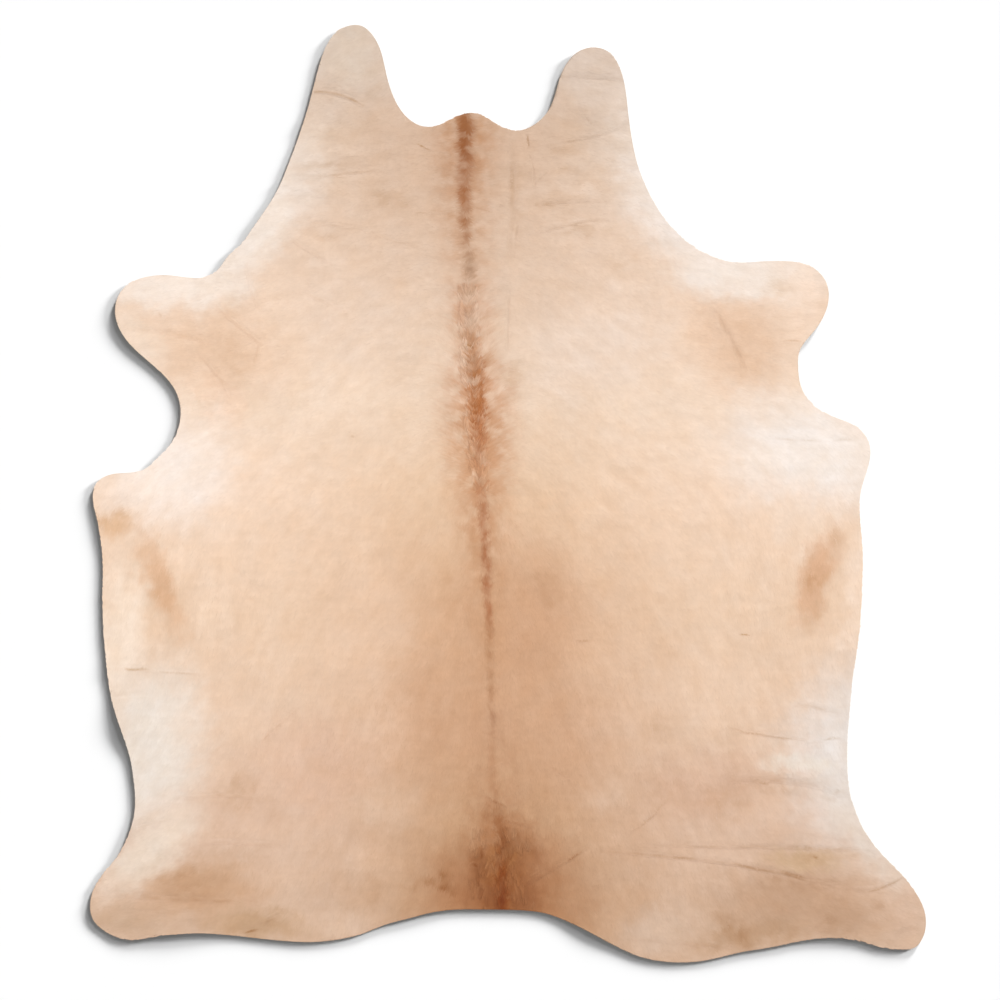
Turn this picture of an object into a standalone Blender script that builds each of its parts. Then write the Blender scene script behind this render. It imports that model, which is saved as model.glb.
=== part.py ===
"""A cowhide laid flat on the floor, hair side up.

The hide is one cut piece: tanned skin with its short coat left on, from the two neck flaps at
the top, past the fore shanks and flanks, to the hind legs and the tail edge. It is built here as
one closed sheet, as thick as the skin and the lying coat together, with the swells and creases
that a hide keeps from the animal and from being folded.

The file works in metres and +Z is up. The tables below are in millimetres, because that is how a
hide is measured. +Y runs towards the neck, +X to the right, and the flesh side rests at z = 0.
"""

from math import cos, radians, sin
from typing import NamedTuple

import bpy
import numpy as np
from mathutils import Vector
from mathutils.geometry import delaunay_2d_cdt, interpolate_bezier

MM = 0.001

SKIN_THICKNESS = 2.5 * MM
COAT_HEIGHT = 2.5 * MM
EDGE_STEP = 20 * MM
NET_PITCH = 50 * MM
FOLD_STEP = 28 * MM
CLEAR_OF_EDGE = 14 * MM
SAME_POINT = 0.01 * MM


class Landmark(NamedTuple):
    """A place on the cut edge, and the way the edge runs there, clockwise seen from above."""

    x: float
    y: float
    heading: float


class Swell(NamedTuple):
    """A low oval rise, turned anticlockwise, where the hide doesn't lie quite flat."""

    x: float
    y: float
    half_length: float
    half_width: float
    turn: float
    rise: float


class Fold(NamedTuple):
    """A soft crease through three places: a ridge, or a trough where its rise is negative."""

    start: tuple
    middle: tuple
    end: tuple
    half_width: float
    rise: float


# Columns: x, y in mm and heading in degrees, clockwise round the hide from its highest point.
CUT_EDGE = {
    "left neck flap": [
        (-337, 1049, 356), (-295, 1016, 301), (-267, 924, 286), (-226, 844, 315),
    ],
    "nape": [
        (-169, 822, 8), (-79, 853, 356), (14, 813, 358), (77, 842, 45),
    ],
    "right neck flap": [
        (112, 922, 74), (179, 998, 10), (228, 987, 322), (252, 950, 292), (271, 842, 278),
        (298, 716, 291),
    ],
    "right shoulder": [
        (362, 602, 310), (441, 538, 332), (541, 519, 4),
    ],
    "right fore shank": [
        (645, 519, 352), (717, 457, 279), (684, 362, 231), (655, 324, 245), (651, 268, 273),
        (703, 185, 331),
    ],
    "right flank": [
        (763, 160, 337), (811, 92, 268), (787, -15, 268), (794, -145, 270), (788, -290, 266),
        (769, -437, 265), (761, -639, 275),
    ],
    "right hind leg": [
        (808, -770, 304), (887, -858, 311), (935, -947, 277), (917, -1010, 228),
        (886, -1019, 182), (800, -1004, 162), (650, -1001, 192), (549, -1021, 187),
        (410, -1048, 183), (272, -1027, 156), (157, -968, 155), (62, -935, 173),
    ],
    "tail edge": [
        (-81, -930, 179), (-196, -943, 196), (-268, -962, 197), (-340, -989, 194),
        (-462, -1003, 178), (-648, -985, 175), (-772, -987, 186),
    ],
    "left hind leg": [
        (-849, -997, 175), (-918, -966, 138), (-932, -896, 75), (-876, -812, 55),
        (-837, -718, 81), (-841, -617, 98), (-869, -519, 110), (-894, -420, 96),
        (-907, -212, 89), (-907, -148, 93),
    ],
    "left flank": [
        (-916, -72, 99), (-929, -10, 92), (-922, 22, 58), (-905, 38, 30), (-818, 54, 20),
        (-778, 86, 45), (-747, 123, 65), (-741, 222, 113),
    ],
    "left fore shank": [
        (-809, 299, 139), (-873, 376, 111), (-860, 460, 46), (-777, 490, 3), (-687, 484, 4),
        (-642, 511, 58), (-607, 550, 37), (-584, 576, 56),
    ],
    "left shoulder": [
        (-506, 702, 68), (-463, 817, 71), (-426, 948, 75), (-393, 1023, 52),
    ],
}

# Columns: x, y, half length, half width in mm, turn in degrees, rise in mm.
SWELLS = {
    "left neck flap": (-345, 975, 105, 75, 75, 4.0),
    "right neck flap, tip": (183, 985, 105, 62, 0, 4.0),
    "right neck flap, root": (198, 868, 105, 70, 0, 4.5),
    "nape": (-60, 745, 190, 85, 0, 2.5),
    "left shoulder edge": (-500, 600, 170, 80, 58, 4.0),
    "right shoulder edge": (395, 640, 150, 80, -42, 4.0),
    "left fore shank": (-775, 405, 150, 95, 12, 5.0),
    "right fore shank": (640, 425, 125, 110, 60, 5.0),
    "left flank corner": (-850, -20, 130, 80, 80, 4.0),
    "right flank corner": (745, 60, 150, 85, 95, 4.0),
    "left flank": (-800, -510, 150, 85, 0, 5.0),
    "right flank": (680, -610, 190, 70, 4, 5.0),
    "left haunch": (-690, -785, 230, 90, 0, 6.0),
    "right haunch": (640, -735, 240, 70, -6, 6.0),
    "right hock": (690, -925, 230, 90, -4, 6.0),
    "left hock": (-740, -955, 190, 60, 2, 4.0),
    "rump, right of the tail": (255, -800, 210, 90, 32, 5.0),
    "rump, below the crease": (270, -925, 190, 80, 20, 4.0),
    "rump, left of the tail": (-300, -880, 230, 90, -8, 4.0),
}

# Columns: start, middle and end as x, y in mm, half width in mm, rise in mm.
FOLDS = {
    "across the right neck flap": ((112, 925), (185, 932), (262, 928), 16, -3.5),
    "across the left neck flap": ((-440, 890), (-400, 897), (-318, 868), 16, -2.5),
    "below the right neck flap": ((195, 800), (235, 815), (275, 834), 14, -2.0),
    "into the left shoulder": ((-492, 583), (-420, 535), (-344, 494), 20, 2.0),
    "into the right shoulder": ((452, 414), (482, 368), (517, 307), 18, 2.0),
    "left fore leg": ((-829, 369), (-680, 362), (-525, 333), 16, -2.5),
    "upper left flank": ((-893, -390), (-786, -397), (-684, -401), 16, 2.5),
    "lower left flank": ((-684, -593), (-570, -560), (-445, -488), 16, -2.5),
    "above the left haunch": ((-830, -676), (-680, -672), (-536, -666), 18, -3.0),
    "left hock": ((-925, -899), (-775, -912), (-690, -919), 16, -3.0),
    "left of the tail": ((-577, -983), (-545, -958), (-510, -934), 14, -2.0),
    "upper right flank": ((638, -472), (700, -476), (764, -481), 14, 2.0),
    "right flank": ((504, -526), (618, -546), (758, -556), 16, -3.0),
    "above the right haunch": ((428, -653), (575, -662), (752, -680), 20, -3.5),
    "right haunch": ((464, -797), (642, -795), (821, -801), 18, -4.0),
    "right hock": ((515, -832), (682, -869), (884, -863), 16, -3.5),
    "tail to right haunch": ((28, -872), (180, -790), (359, -698), 16, -3.5),
    "back line": ((10, 800), (5, 540), (-5, 280), 16, 1.5),
}

HAIR_COLOUR = (0.74, 0.54, 0.40, 1.0)
HAIR_ROUGHNESS = 0.65


def edge_between(here, there):
    """Points along the cut edge from one landmark up to the next, which is left out.

    Each end is pulled along its heading as far as on a circular arc that turns as much.
    """
    start = Vector((here.x, here.y)) * MM
    end = Vector((there.x, there.y)) * MM
    chord = (end - start).length
    turn = (there.heading - here.heading + 180) % 360 - 180
    pull = chord / (3 * cos(radians(turn) / 4) ** 2)
    leaving = start + pull * Vector((cos(radians(here.heading)), sin(radians(here.heading))))
    arriving = end - pull * Vector((cos(radians(there.heading)), sin(radians(there.heading))))
    steps = max(2, round(chord / EDGE_STEP))
    return interpolate_bezier(start, leaving, arriving, end, steps + 1)[:-1]


def cut_edge():
    """The whole cut edge, anticlockwise, and the middle of the box round it."""
    landmarks = [Landmark(*row) for rows in CUT_EDGE.values() for row in rows]
    following = landmarks[1:] + landmarks[:1]
    points = [p for pair in zip(landmarks, following) for p in edge_between(*pair)]
    outline = np.array([p[:2] for p in reversed(points)])
    middle = (outline.min(axis=0) + outline.max(axis=0)) / 2
    return outline, middle


def fold_line(fold):
    """Points FOLD_STEP apart on the smooth curve through the start, middle and end of a fold."""
    start, middle, end = (Vector(place) * MM for place in (fold.start, fold.middle, fold.end))
    pull = middle + (middle - (start + end) / 2)
    length = (middle - start).length + (end - middle).length
    steps = max(2, round(length / FOLD_STEP))
    leaving = start.lerp(pull, 2 / 3)
    arriving = end.lerp(pull, 2 / 3)
    return np.array([p[:2] for p in interpolate_bezier(start, leaving, arriving, end, steps + 1)])


def distance_to(line, points, closed=False):
    """How far each point is from a line of straight stretches."""
    starts = line if closed else line[:-1]
    runs = (np.roll(line, -1, axis=0) if closed else line[1:]) - starts
    from_start = points[:, None] - starts[None]
    along = (from_start * runs).sum(axis=2) / (runs**2).sum(axis=1)
    nearest = from_start - np.clip(along, 0, 1)[..., None] * runs
    return np.sqrt((nearest**2).sum(axis=2)).min(axis=1)


def soft(share):
    """1 at a share of 0, falling smoothly to 0 at a share of 1 and beyond."""
    return (1 + np.cos(np.pi * np.clip(share, 0, 1))) / 2


def lift_of(points):
    """How far the flesh side stands off the floor at each point."""
    lift = np.zeros(len(points))
    for swell in (Swell(*row) for row in SWELLS.values()):
        turn = radians(swell.turn)
        x, y = (points - np.array((swell.x, swell.y)) * MM).T
        along = (x * cos(turn) + y * sin(turn)) / (swell.half_length * MM)
        across = (y * cos(turn) - x * sin(turn)) / (swell.half_width * MM)
        lift += swell.rise * MM * soft(np.hypot(along, across))
    for fold in (Fold(*row) for row in FOLDS.values()):
        off = distance_to(fold_line(fold), points)
        lift += fold.rise * MM * soft(off / (fold.half_width * MM))
    return np.maximum(lift, 0)


def is_inside(outline, points):
    """Which points have the outline round them, by counting its crossings to their right."""
    x, y = points[:, None, 0], points[:, None, 1]
    start, end = outline[None], np.roll(outline, -1, axis=0)[None]
    spans = (start[..., 1] > y) != (end[..., 1] > y)
    rise = np.where(spans, end[..., 1] - start[..., 1], 1)
    crossing = start[..., 0] + (y - start[..., 1]) / rise * (end[..., 0] - start[..., 0])
    return (spans & (x < crossing)).sum(axis=1) % 2 == 1


def fold_net():
    """Points along each fold: its middle line, and a line at each side where it has died away."""
    rows = []
    for fold in (Fold(*row) for row in FOLDS.values()):
        line = fold_line(fold)
        along = np.gradient(line, axis=0)
        across = np.stack((-along[:, 1], along[:, 0]), axis=1)
        across *= fold.half_width * MM / np.hypot(*across.T)[:, None]
        rows += [line - across, line, line + across]
    return np.concatenate(rows)


def even_net(outline):
    """Points NET_PITCH apart in staggered rows all over the hide."""
    low, high = outline.min(axis=0), outline.max(axis=0)
    xs = np.arange(low[0], high[0], NET_PITCH)
    ys = np.arange(low[1], high[1], NET_PITCH * sin(radians(60)))
    grid = np.stack(np.meshgrid(xs, ys), axis=2)
    grid[1::2, :, 0] += NET_PITCH / 2
    return grid.reshape(-1, 2)


def net_points(outline):
    """Every point of the hide that isn't on its cut edge, none too near another."""
    folds = fold_net()
    even = even_net(outline)
    gaps = np.hypot(*(even[:, None] - folds[None]).transpose(2, 0, 1)).min(axis=1)
    points = np.concatenate((folds, even[gaps > NET_PITCH / 2]))
    points = points[is_inside(outline, points)]
    return points[distance_to(outline, points, closed=True) > CLEAR_OF_EDGE]


def flesh_side(name):
    """The underside of the hide, as a net of triangles inside the cut edge."""
    outline, middle = cut_edge()
    inner = net_points(outline)
    places = [Vector(p) for p in np.concatenate((outline, inner))]
    inside_only = 1
    net = delaunay_2d_cdt(places, [], [list(range(len(outline)))], inside_only, SAME_POINT)
    points = np.array([p[:] for p in net[0]])
    heights = lift_of(points)
    points -= middle
    mesh = bpy.data.meshes.new(name)
    mesh.from_pydata(np.column_stack((points, heights)), [], net[2])
    mesh.validate()
    return mesh


def hair_on_hide():
    """Pale red-brown hair on tanned skin: fine, dry and only a little glossy."""
    material = bpy.data.materials.new("hair_on_hide")
    material.use_nodes = True
    shader = material.node_tree.nodes["Principled BSDF"]
    shader.inputs["Base Color"].default_value = HAIR_COLOUR
    shader.inputs["Roughness"].default_value = HAIR_ROUGHNESS
    shader.inputs["Metallic"].default_value = 0.0
    return material


def build_hide():
    """The hide: its flesh side, given the thickness of the skin and the lying coat."""
    mesh = flesh_side("hide")
    mesh.materials.append(hair_on_hide())
    hide = bpy.data.objects.new("hide", mesh)
    bpy.context.scene.collection.objects.link(hide)
    thickness = hide.modifiers.new("skin and coat", "SOLIDIFY")
    thickness.thickness = SKIN_THICKNESS + COAT_HEIGHT
    thickness.offset = 1.0
    thickness.use_even_offset = False
    mesh.shade_smooth()
    mesh.set_sharp_from_angle(angle=radians(40))
    return hide


def main():
    for thing in list(bpy.data.objects):
        bpy.data.objects.remove(thing, do_unlink=True)
    build_hide()


main()
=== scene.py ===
# %% [markdown]
# A cowhide, laid flat with its hair side up
#
# The hide is one piece of tanned skin with the hair left on. The frame gives one plain solid
# that holds its outline, its thickness and its folds. Here that solid is dressed: a thin sheet
# of skin lies on the solid's folds, and a short coat is planted on it, hair by hair.

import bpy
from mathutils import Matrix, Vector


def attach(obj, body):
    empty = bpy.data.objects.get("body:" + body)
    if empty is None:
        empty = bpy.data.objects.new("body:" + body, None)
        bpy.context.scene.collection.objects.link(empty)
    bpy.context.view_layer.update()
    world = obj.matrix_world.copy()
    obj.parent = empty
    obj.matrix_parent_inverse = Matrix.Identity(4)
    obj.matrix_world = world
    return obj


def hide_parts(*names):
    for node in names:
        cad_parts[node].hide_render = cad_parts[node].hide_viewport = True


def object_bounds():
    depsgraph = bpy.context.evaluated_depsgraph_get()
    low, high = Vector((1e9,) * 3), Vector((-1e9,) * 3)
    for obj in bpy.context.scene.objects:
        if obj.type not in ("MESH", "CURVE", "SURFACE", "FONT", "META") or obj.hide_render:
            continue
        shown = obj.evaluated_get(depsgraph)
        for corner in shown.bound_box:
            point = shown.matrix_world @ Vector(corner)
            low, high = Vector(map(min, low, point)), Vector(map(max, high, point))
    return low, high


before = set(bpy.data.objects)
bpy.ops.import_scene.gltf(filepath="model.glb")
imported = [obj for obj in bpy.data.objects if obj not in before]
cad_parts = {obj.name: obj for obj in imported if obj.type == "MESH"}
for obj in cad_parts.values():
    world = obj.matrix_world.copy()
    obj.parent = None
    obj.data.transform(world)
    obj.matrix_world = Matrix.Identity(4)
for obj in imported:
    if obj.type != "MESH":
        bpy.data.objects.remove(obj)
cad_box = [list(corner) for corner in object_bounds()]

from math import cos, pi, radians, sin

import bmesh
import bpy
import numpy as np
from mathutils import Euler, Vector
from mathutils.bvhtree import BVHTree
from mathutils.geometry import interpolate_bezier

MM = 0.001
hide_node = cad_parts["hide"]
print("solid hide, in metres:", [round(high - low, 3) for low, high in zip(*cad_box)])

# %% [markdown]
# Helpers
#
# Hair colours are given as sRGB hex values, as a paint chart gives them, and a shader
# wants linear light. One small function adds a node with its settings and its links, so that a
# material below reads as a list of what feeds what.


# %% Colour and node helpers
def linear(hex_colour):
    """An sRGB hex colour as linear red, green, blue and full alpha."""
    parts = [int(hex_colour[i : i + 2], 16) / 255 for i in (0, 2, 4)]
    return (*(p / 12.92 if p <= 0.04045 else ((p + 0.055) / 1.055) ** 2.4 for p in parts), 1.0)


def add_node(tree, kind, inputs=(), stops=(), **settings):
    """A new node with its settings, its inputs set to values or linked, and the stops of its ramp."""
    node = tree.nodes.new("ShaderNode" + kind)
    for name, value in settings.items():
        setattr(node, name, value)
    for i, (position, colour) in enumerate(sorted(stops)):
        elements = node.color_ramp.elements
        stop = elements[i] if i < 2 else elements.new(position)
        stop.position = position
        stop.color = colour
    for socket, value in dict(inputs).items():
        if isinstance(value, bpy.types.NodeSocket):
            tree.links.new(value, node.inputs[socket])
        else:
            node.inputs[socket].default_value = value
    return node


print("sand, as linear light:", [round(part, 3) for part in linear("edd2b9")[:3]])

# %% [markdown]
# The camera
#
# The photograph looks straight down at the hide from a distance, so nothing is foreshortened. A
# long lens, high over the floor, does the same. The picture spans 1000 pixels of 2.232 mm, and
# the middle of the hide lies a little right of the picture's middle and above it.

# %% Camera
PIXEL = 2.232 * MM
PICTURE_PIXELS = 1000
PICTURE_SIDE = PICTURE_PIXELS * PIXEL
HIDE_RIGHT_OF_MIDDLE = 7.9 * PIXEL
HIDE_ABOVE_MIDDLE = 6.2 * PIXEL
LENS = 90.0
SENSOR = 36.0

camera_data = bpy.data.cameras.new("straight_down")
camera_data.lens = LENS
camera_data.sensor_width = SENSOR
camera = bpy.data.objects.new("straight_down", camera_data)
camera.location = (
    -HIDE_RIGHT_OF_MIDDLE,
    -HIDE_ABOVE_MIDDLE,
    cad_box[1][2] + PICTURE_SIDE * LENS / SENSOR,
)
bpy.context.scene.collection.objects.link(camera)
bpy.context.scene.camera = camera
print("camera height, in metres:", round(camera.location.z, 2))

# %% [markdown]
# The cut edge
#
# The tannery trims the skin with a knife, so the edge is one smooth run round the whole hide.
# The solid holds it as short straight stretches. A cubic curve through the same places, pulled
# at each place along the line between its neighbours, gives the smooth edge back.

# %% Cut edge
SKIN = 2.5 * MM
COAT = 2.5 * MM
EDGE_STEP = 5 * MM
SAME_PLACE = 0.01 * MM


def rim_of(node):
    """The places along the upper rim of a sheet, in order, with x and y only."""
    shape = bmesh.new()
    shape.from_mesh(node.data)
    bmesh.ops.remove_doubles(shape, verts=shape.verts, dist=SAME_PLACE)
    shape.normal_update()
    looks_up = {face: face.normal.z > 0.5 for face in shape.faces}
    rim = {edge for edge in shape.edges if len({looks_up[f] for f in edge.link_faces}) == 2}
    here = next(iter(sorted(rim, key=lambda edge: edge.index))).verts[0]
    places = []
    while rim:
        edge = next(e for e in here.link_edges if e in rim)
        rim.remove(edge)
        places.append(here.co.xy.copy())
        here = edge.other_vert(here)
    shape.free()
    return places


def smooth_outline(places, step):
    """Places about a step apart on a smooth closed curve, anticlockwise."""
    curve = []
    for i, here in enumerate(places):
        before, there, after = places[i - 1], *(places[(i + k) % len(places)] for k in (1, 2))
        pull = (there - here).length / 3
        leaving = here + (there - before).normalized() * pull
        arriving = there - (after - here).normalized() * pull
        pieces = max(1, round((there - here).length / step))
        curve += interpolate_bezier(here, leaving, arriving, there, pieces + 1)[:-1]
    line = np.array([place[:] for place in curve])
    following = np.roll(line, -1, axis=0)
    doubled_area = (line[:, 0] * following[:, 1] - following[:, 0] * line[:, 1]).sum()
    return line if doubled_area > 0 else line[::-1]


def moved_in(line, distance):
    """A closed anticlockwise line, moved inwards by a distance."""
    along = np.roll(line, -1, axis=0) - np.roll(line, 1, axis=0)
    inwards = np.stack((-along[:, 1], along[:, 0]), axis=1)
    return line + distance * inwards / np.hypot(*along.T)[:, None]


outline = smooth_outline(rim_of(hide_node), EDGE_STEP)
runs = np.roll(outline, -1, axis=0) - outline
girth = np.hypot(*runs.T).sum()
hide_area = 0.5 * abs((outline[:, 0] * runs[:, 1] - outline[:, 1] * runs[:, 0]).sum())
print(f"cut edge: {girth:.2f} m round, {hide_area:.2f} square metres")

# %% [markdown]
# How far from the edge
#
# Hair near the edge is trimmed with it, so each hair has to know how far it is from the edge.
# Asking the edge itself for a quarter of a million hairs is slow. A map of distances on a fine
# grid is worked out once instead, and read between its places. It is positive inside.

# %% Maps over the hide
MAP_PITCH = 5 * MM
MAP_REACH = 30 * MM
low = outline.min(axis=0) - MAP_REACH
high = outline.max(axis=0) + MAP_REACH
map_x = np.arange(low[0], high[0], MAP_PITCH)
map_y = np.arange(low[1], high[1], MAP_PITCH)


def read_map(values, places):
    """The values of a map at any places, read between its grid places."""
    across = np.clip((places[:, 0] - map_x[0]) / MAP_PITCH, 0, len(map_x) - 1.001)
    up = np.clip((places[:, 1] - map_y[0]) / MAP_PITCH, 0, len(map_y) - 1.001)
    column, row = across.astype(int), up.astype(int)
    u, v = across - column, up - row
    lower = values[row, column] * (1 - u) + values[row, column + 1] * u
    upper = values[row + 1, column] * (1 - u) + values[row + 1, column + 1] * u
    return lower * (1 - v) + upper * v


def edge_map(line):
    """How far inside the cut edge each place of the grid is, up to MAP_REACH either way."""
    start, end = line, np.roll(line, -1, axis=0)
    distance = np.full((len(map_y), len(map_x)), MAP_REACH)
    for a, b in zip(start, end):
        near = [slice(*np.searchsorted(m, (c - MAP_REACH, c + MAP_REACH)))
                for m, c in zip((map_y, map_x), (a[1], a[0]))]
        y, x = np.meshgrid(map_y[near[0]], map_x[near[1]], indexing="ij")
        run = b - a
        along = np.clip(((x - a[0]) * run[0] + (y - a[1]) * run[1]) / run.dot(run), 0, 1)
        off = np.hypot(x - a[0] - along * run[0], y - a[1] - along * run[1])
        distance[near[0], near[1]] = np.minimum(distance[near[0], near[1]], off)
    for row, y in enumerate(map_y):
        spans = (start[:, 1] > y) != (end[:, 1] > y)
        a, b = start[spans], end[spans]
        crossings = np.sort(a[:, 0] + (y - a[:, 1]) / (b[:, 1] - a[:, 1]) * (b[:, 0] - a[:, 0]))
        outside = np.searchsorted(crossings, map_x) % 2 == 0
        distance[row, outside] *= -1
    return distance


inside_map = edge_map(outline)
print("map of the distances:", inside_map.shape, "places")

# %% [markdown]
# Creases
#
# Leather that has been folded for sale keeps fine creases, which are too narrow for the solid.
# They are pressed in from a short table: a smooth run through three places each.

# %% Creases
# Columns: start, middle and end as x, y in mm, half width in mm, depth in mm, and the share of
# light by which painted shade darkens the parted hair along it.
CREASES = {
    "across the right neck flap": ((122, 934), (185, 932), (254, 927), 10, 1.2, 0.22),
    "across the left neck flap": ((-436, 898), (-382, 894), (-322, 867), 10, 1.2, 0.50),
    "right neck, upper": ((171, 842), (180, 833), (191, 825), 6, 0.5, 0.13),
    "right neck, lower": ((113, 789), (189, 798), (274, 833), 7, 0.7, 0.13),
    "left neck edge": ((-467, 706), (-373, 715), (-280, 726), 8, 0.6, 0.09),
    "left neck, short": ((-443, 686), (-427, 677), (-411, 668), 6, 0.4, 0.13),
    "left neck, long": ((-436, 608), (-362, 597), (-298, 586), 6, 0.5, 0.09),
    "left neck, long, inner": ((-298, 581), (-231, 559), (-164, 543), 6, 0.4, 0.07),
    "right neck, mid": ((62, 646), (118, 650), (207, 656), 7, 0.5, 0.05),
    "right neck, lower mid": ((51, 579), (129, 601), (218, 612), 7, 0.5, 0.05),
    "left shoulder": ((-489, 577), (-452, 550), (-394, 516), 8, 0.6, 0.07),
    "left shoulder, lower": ((-463, 452), (-414, 432), (-351, 405), 8, 0.5, 0.04),
    "left shoulder, upright": ((-583, 519), (-572, 456), (-548, 407), 8, 0.5, 0.04),
    "right shoulder": ((452, 418), (490, 360), (531, 273), 11, 0.8, 0.06),
    "left fore leg": ((-849, 369), (-753, 358), (-652, 338), 10, 0.8, 0.09),
    "left fore leg, inner": ((-650, 421), (-608, 380), (-548, 333), 9, 0.7, 0.09),
    "left fore leg, branch": ((-556, 333), (-559, 311), (-568, 289), 6, 0.4, 0.07),
    "left elbow": ((-697, 318), (-657, 275), (-619, 217), 6, 0.6, 0.09),
    "right bay": ((598, 124), (653, 121), (702, 119), 6, 0.5, 0.10),
    "right bay, outer": ((727, 119), (749, 121), (772, 121), 6, 0.5, 0.09),
    "nape": ((48, 758), (57, 720), (60, 682), 5, 0.6, 0.26),
    "nape, upper": ((42, 804), (44, 789), (46, 773), 5, 0.6, 0.26),
    "nape, branch": ((60, 695), (73, 708), (86, 720), 5, 0.3, 0.09),
    "beside the back line": ((19, 604), (17, 577), (15, 548), 6, 0.5, 0.14),
    "beside the back line, lower": ((2, 456), (-1, 378), (-1, 311), 6, 0.5, 0.05),
    "left flank": ((-900, -390), (-850, -390), (-775, -396), 8, 1.0, 0.34),
    "left flank, inner": ((-790, -396), (-735, -398), (-670, -403), 6, 0.6, 0.14),
    "left flank, second": ((-882, -457), (-842, -454), (-797, -454), 6, 0.5, 0.10),
    "left flank scratch": ((-623, -151), (-590, -184), (-548, -216), 5, 0.5, 0.09),
    "left flank scratch, lower": ((-606, -211), (-583, -229), (-552, -249), 5, 0.5, 0.09),
    "left haunch, slanting": ((-568, -577), (-518, -521), (-467, -479), 7, 0.8, 0.14),
    "left haunch, short": ((-690, -604), (-646, -568), (-608, -537), 6, 0.5, 0.07),
    "above the left haunch": ((-748, -680), (-652, -675), (-552, -680), 8, 0.7, 0.07),
    "left haunch, at the edge": ((-831, -747), (-797, -738), (-757, -725), 8, 0.5, 0.07),
    "left haunch": ((-704, -781), (-608, -779), (-507, -786), 8, 0.7, 0.04),
    "left hock": ((-920, -890), (-764, -905), (-556, -910), 13, 1.2, 0.14),
    "left hock, lower": ((-887, -932), (-775, -936), (-664, -932), 9, 0.5, 0.04),
    "left of the tail": ((-592, -978), (-555, -962), (-506, -941), 8, 0.8, 0.12),
    "right flank, upper": ((631, -468), (687, -477), (749, -488), 8, 0.8, 0.08),
    "right flank": ((495, -524), (575, -539), (667, -548), 7, 0.9, 0.17),
    "right flank, at the edge": ((671, -555), (709, -548), (749, -548), 6, 0.6, 0.16),
    "above the right haunch": ((490, -644), (620, -640), (756, -676), 14, 1.4, 0.06),
    "right haunch": ((285, -783), (519, -789), (805, -796), 8, 1.0, 0.09),
    "right haunch, middle": ((582, -791), (653, -789), (725, -798), 6, 0.4, 0.12),
    "right hock": ((207, -798), (508, -829), (805, -890), 9, 1.2, 0.22),
    "right hock, middle": ((553, -836), (642, -856), (743, -881), 7, 0.5, 0.24),
    "right toe": ((796, -890), (841, -879), (883, -854), 7, 0.8, 0.20),
    "right toe, lower": ((861, -986), (888, -974), (917, -972), 8, 0.5, 0.04),
    "right thigh edge": ((263, -990), (408, -1006), (560, -1015), 8, 0.5, 0.04),
    "tail to right haunch": ((37, -876), (102, -838), (180, -790), 7, 1.2, 0.44),
    "tail to right haunch, upper": ((265, -758), (314, -727), (359, -680), 6, 0.7, 0.13),
    "above the tail": ((-63, -666), (-34, -684), (-1, -700), 5, 0.5, 0.14),
    "above the tail, right": ((95, -611), (115, -624), (142, -637), 5, 0.5, 0.13),
    "right of the tail": ((-10, -729), (22, -736), (60, -747), 6, 0.5, 0.12),
}

# How the depth of a crease tapers towards its ends, and which way the skin bulges beside it.
CREASE_TAPER = 0.7
RIDGE_SIDE = np.array((0.35, 0.94))


def soft(share):
    """1 at a share of 0, falling smoothly to 0 at a share of 1 and beyond."""
    return (1 + np.cos(np.pi * np.clip(share, 0, 1))) / 2


def from_line(line, places):
    """How far each place is from a line of straight stretches, and how far along it, from 0 to 1."""
    runs = line[1:] - line[:-1]
    lengths = np.hypot(*runs.T)
    starts = np.concatenate(([0], np.cumsum(lengths)[:-1]))
    to_place = places[:, None] - line[None, :-1]
    along = np.clip((to_place * runs).sum(axis=2) / lengths**2, 0, 1)
    off = to_place - along[..., None] * runs
    distances = np.hypot(off[..., 0], off[..., 1])
    nearest = distances.argmin(axis=1)
    rows = np.arange(len(places))
    travelled = starts[nearest] + along[rows, nearest] * lengths[nearest]
    return distances[rows, nearest], travelled / lengths.sum()


def through_three(start, middle, end, pieces=10):
    """A smooth line through three places that are given in mm."""
    start, middle, end = (Vector(place) * MM for place in (start, middle, end))
    pull = 2 * middle - (start + end) / 2
    curve = interpolate_bezier(start, start.lerp(pull, 2 / 3), end.lerp(pull, 2 / 3), end, pieces + 1)
    return np.array([place[:2] for place in curve])


crease_lines = {name: through_three(*row[:3]) for name, row in CREASES.items()}


def along_creases(places, aside=0.0):
    """How deep the creases press each place down, all of them moved aside by some half widths."""
    depth = np.zeros(len(places))
    for name, (*_, half_width, deep, _) in CREASES.items():
        reach = half_width * MM
        line = crease_lines[name] + aside * reach * RIDGE_SIDE
        near = ((places > line.min(axis=0) - reach) & (places < line.max(axis=0) + reach)).all(axis=1)
        if near.any():
            distance, along = from_line(line, places[near])
            tapered = deep * MM * np.sin(np.pi * np.clip(along, 0.02, 0.98)) ** CREASE_TAPER
            depth[near] = np.maximum(depth[near], tapered * soft(distance / reach))
    return depth


crease_metres = sum(np.hypot(*np.diff(line, axis=0).T).sum() for line in crease_lines.values())
print(f"creases: {len(CREASES)}, {crease_metres:.1f} m in all")

# %% [markdown]
# Wrinkles
#
# The skin of the neck and of the hind legs folds whenever the animal moves, and keeps fine
# wrinkles that run across. They are far too many to place by hand, so they come from a noise
# that is drawn out sideways and fans out a little, as the skin does.

# %% Wrinkles
NOISE_SIDE = 512
WRINKLE_STRETCH = 0.16
WRINKLE_PITCH = 19 * MM
WRINKLE_HEIGHT = 0.8 * MM

# How much the wrinkles fan out towards the sides, on the neck and on the hind legs.
FANNED_ON_NECK, FANNED_ON_LEGS = 0.2, -0.05

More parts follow.
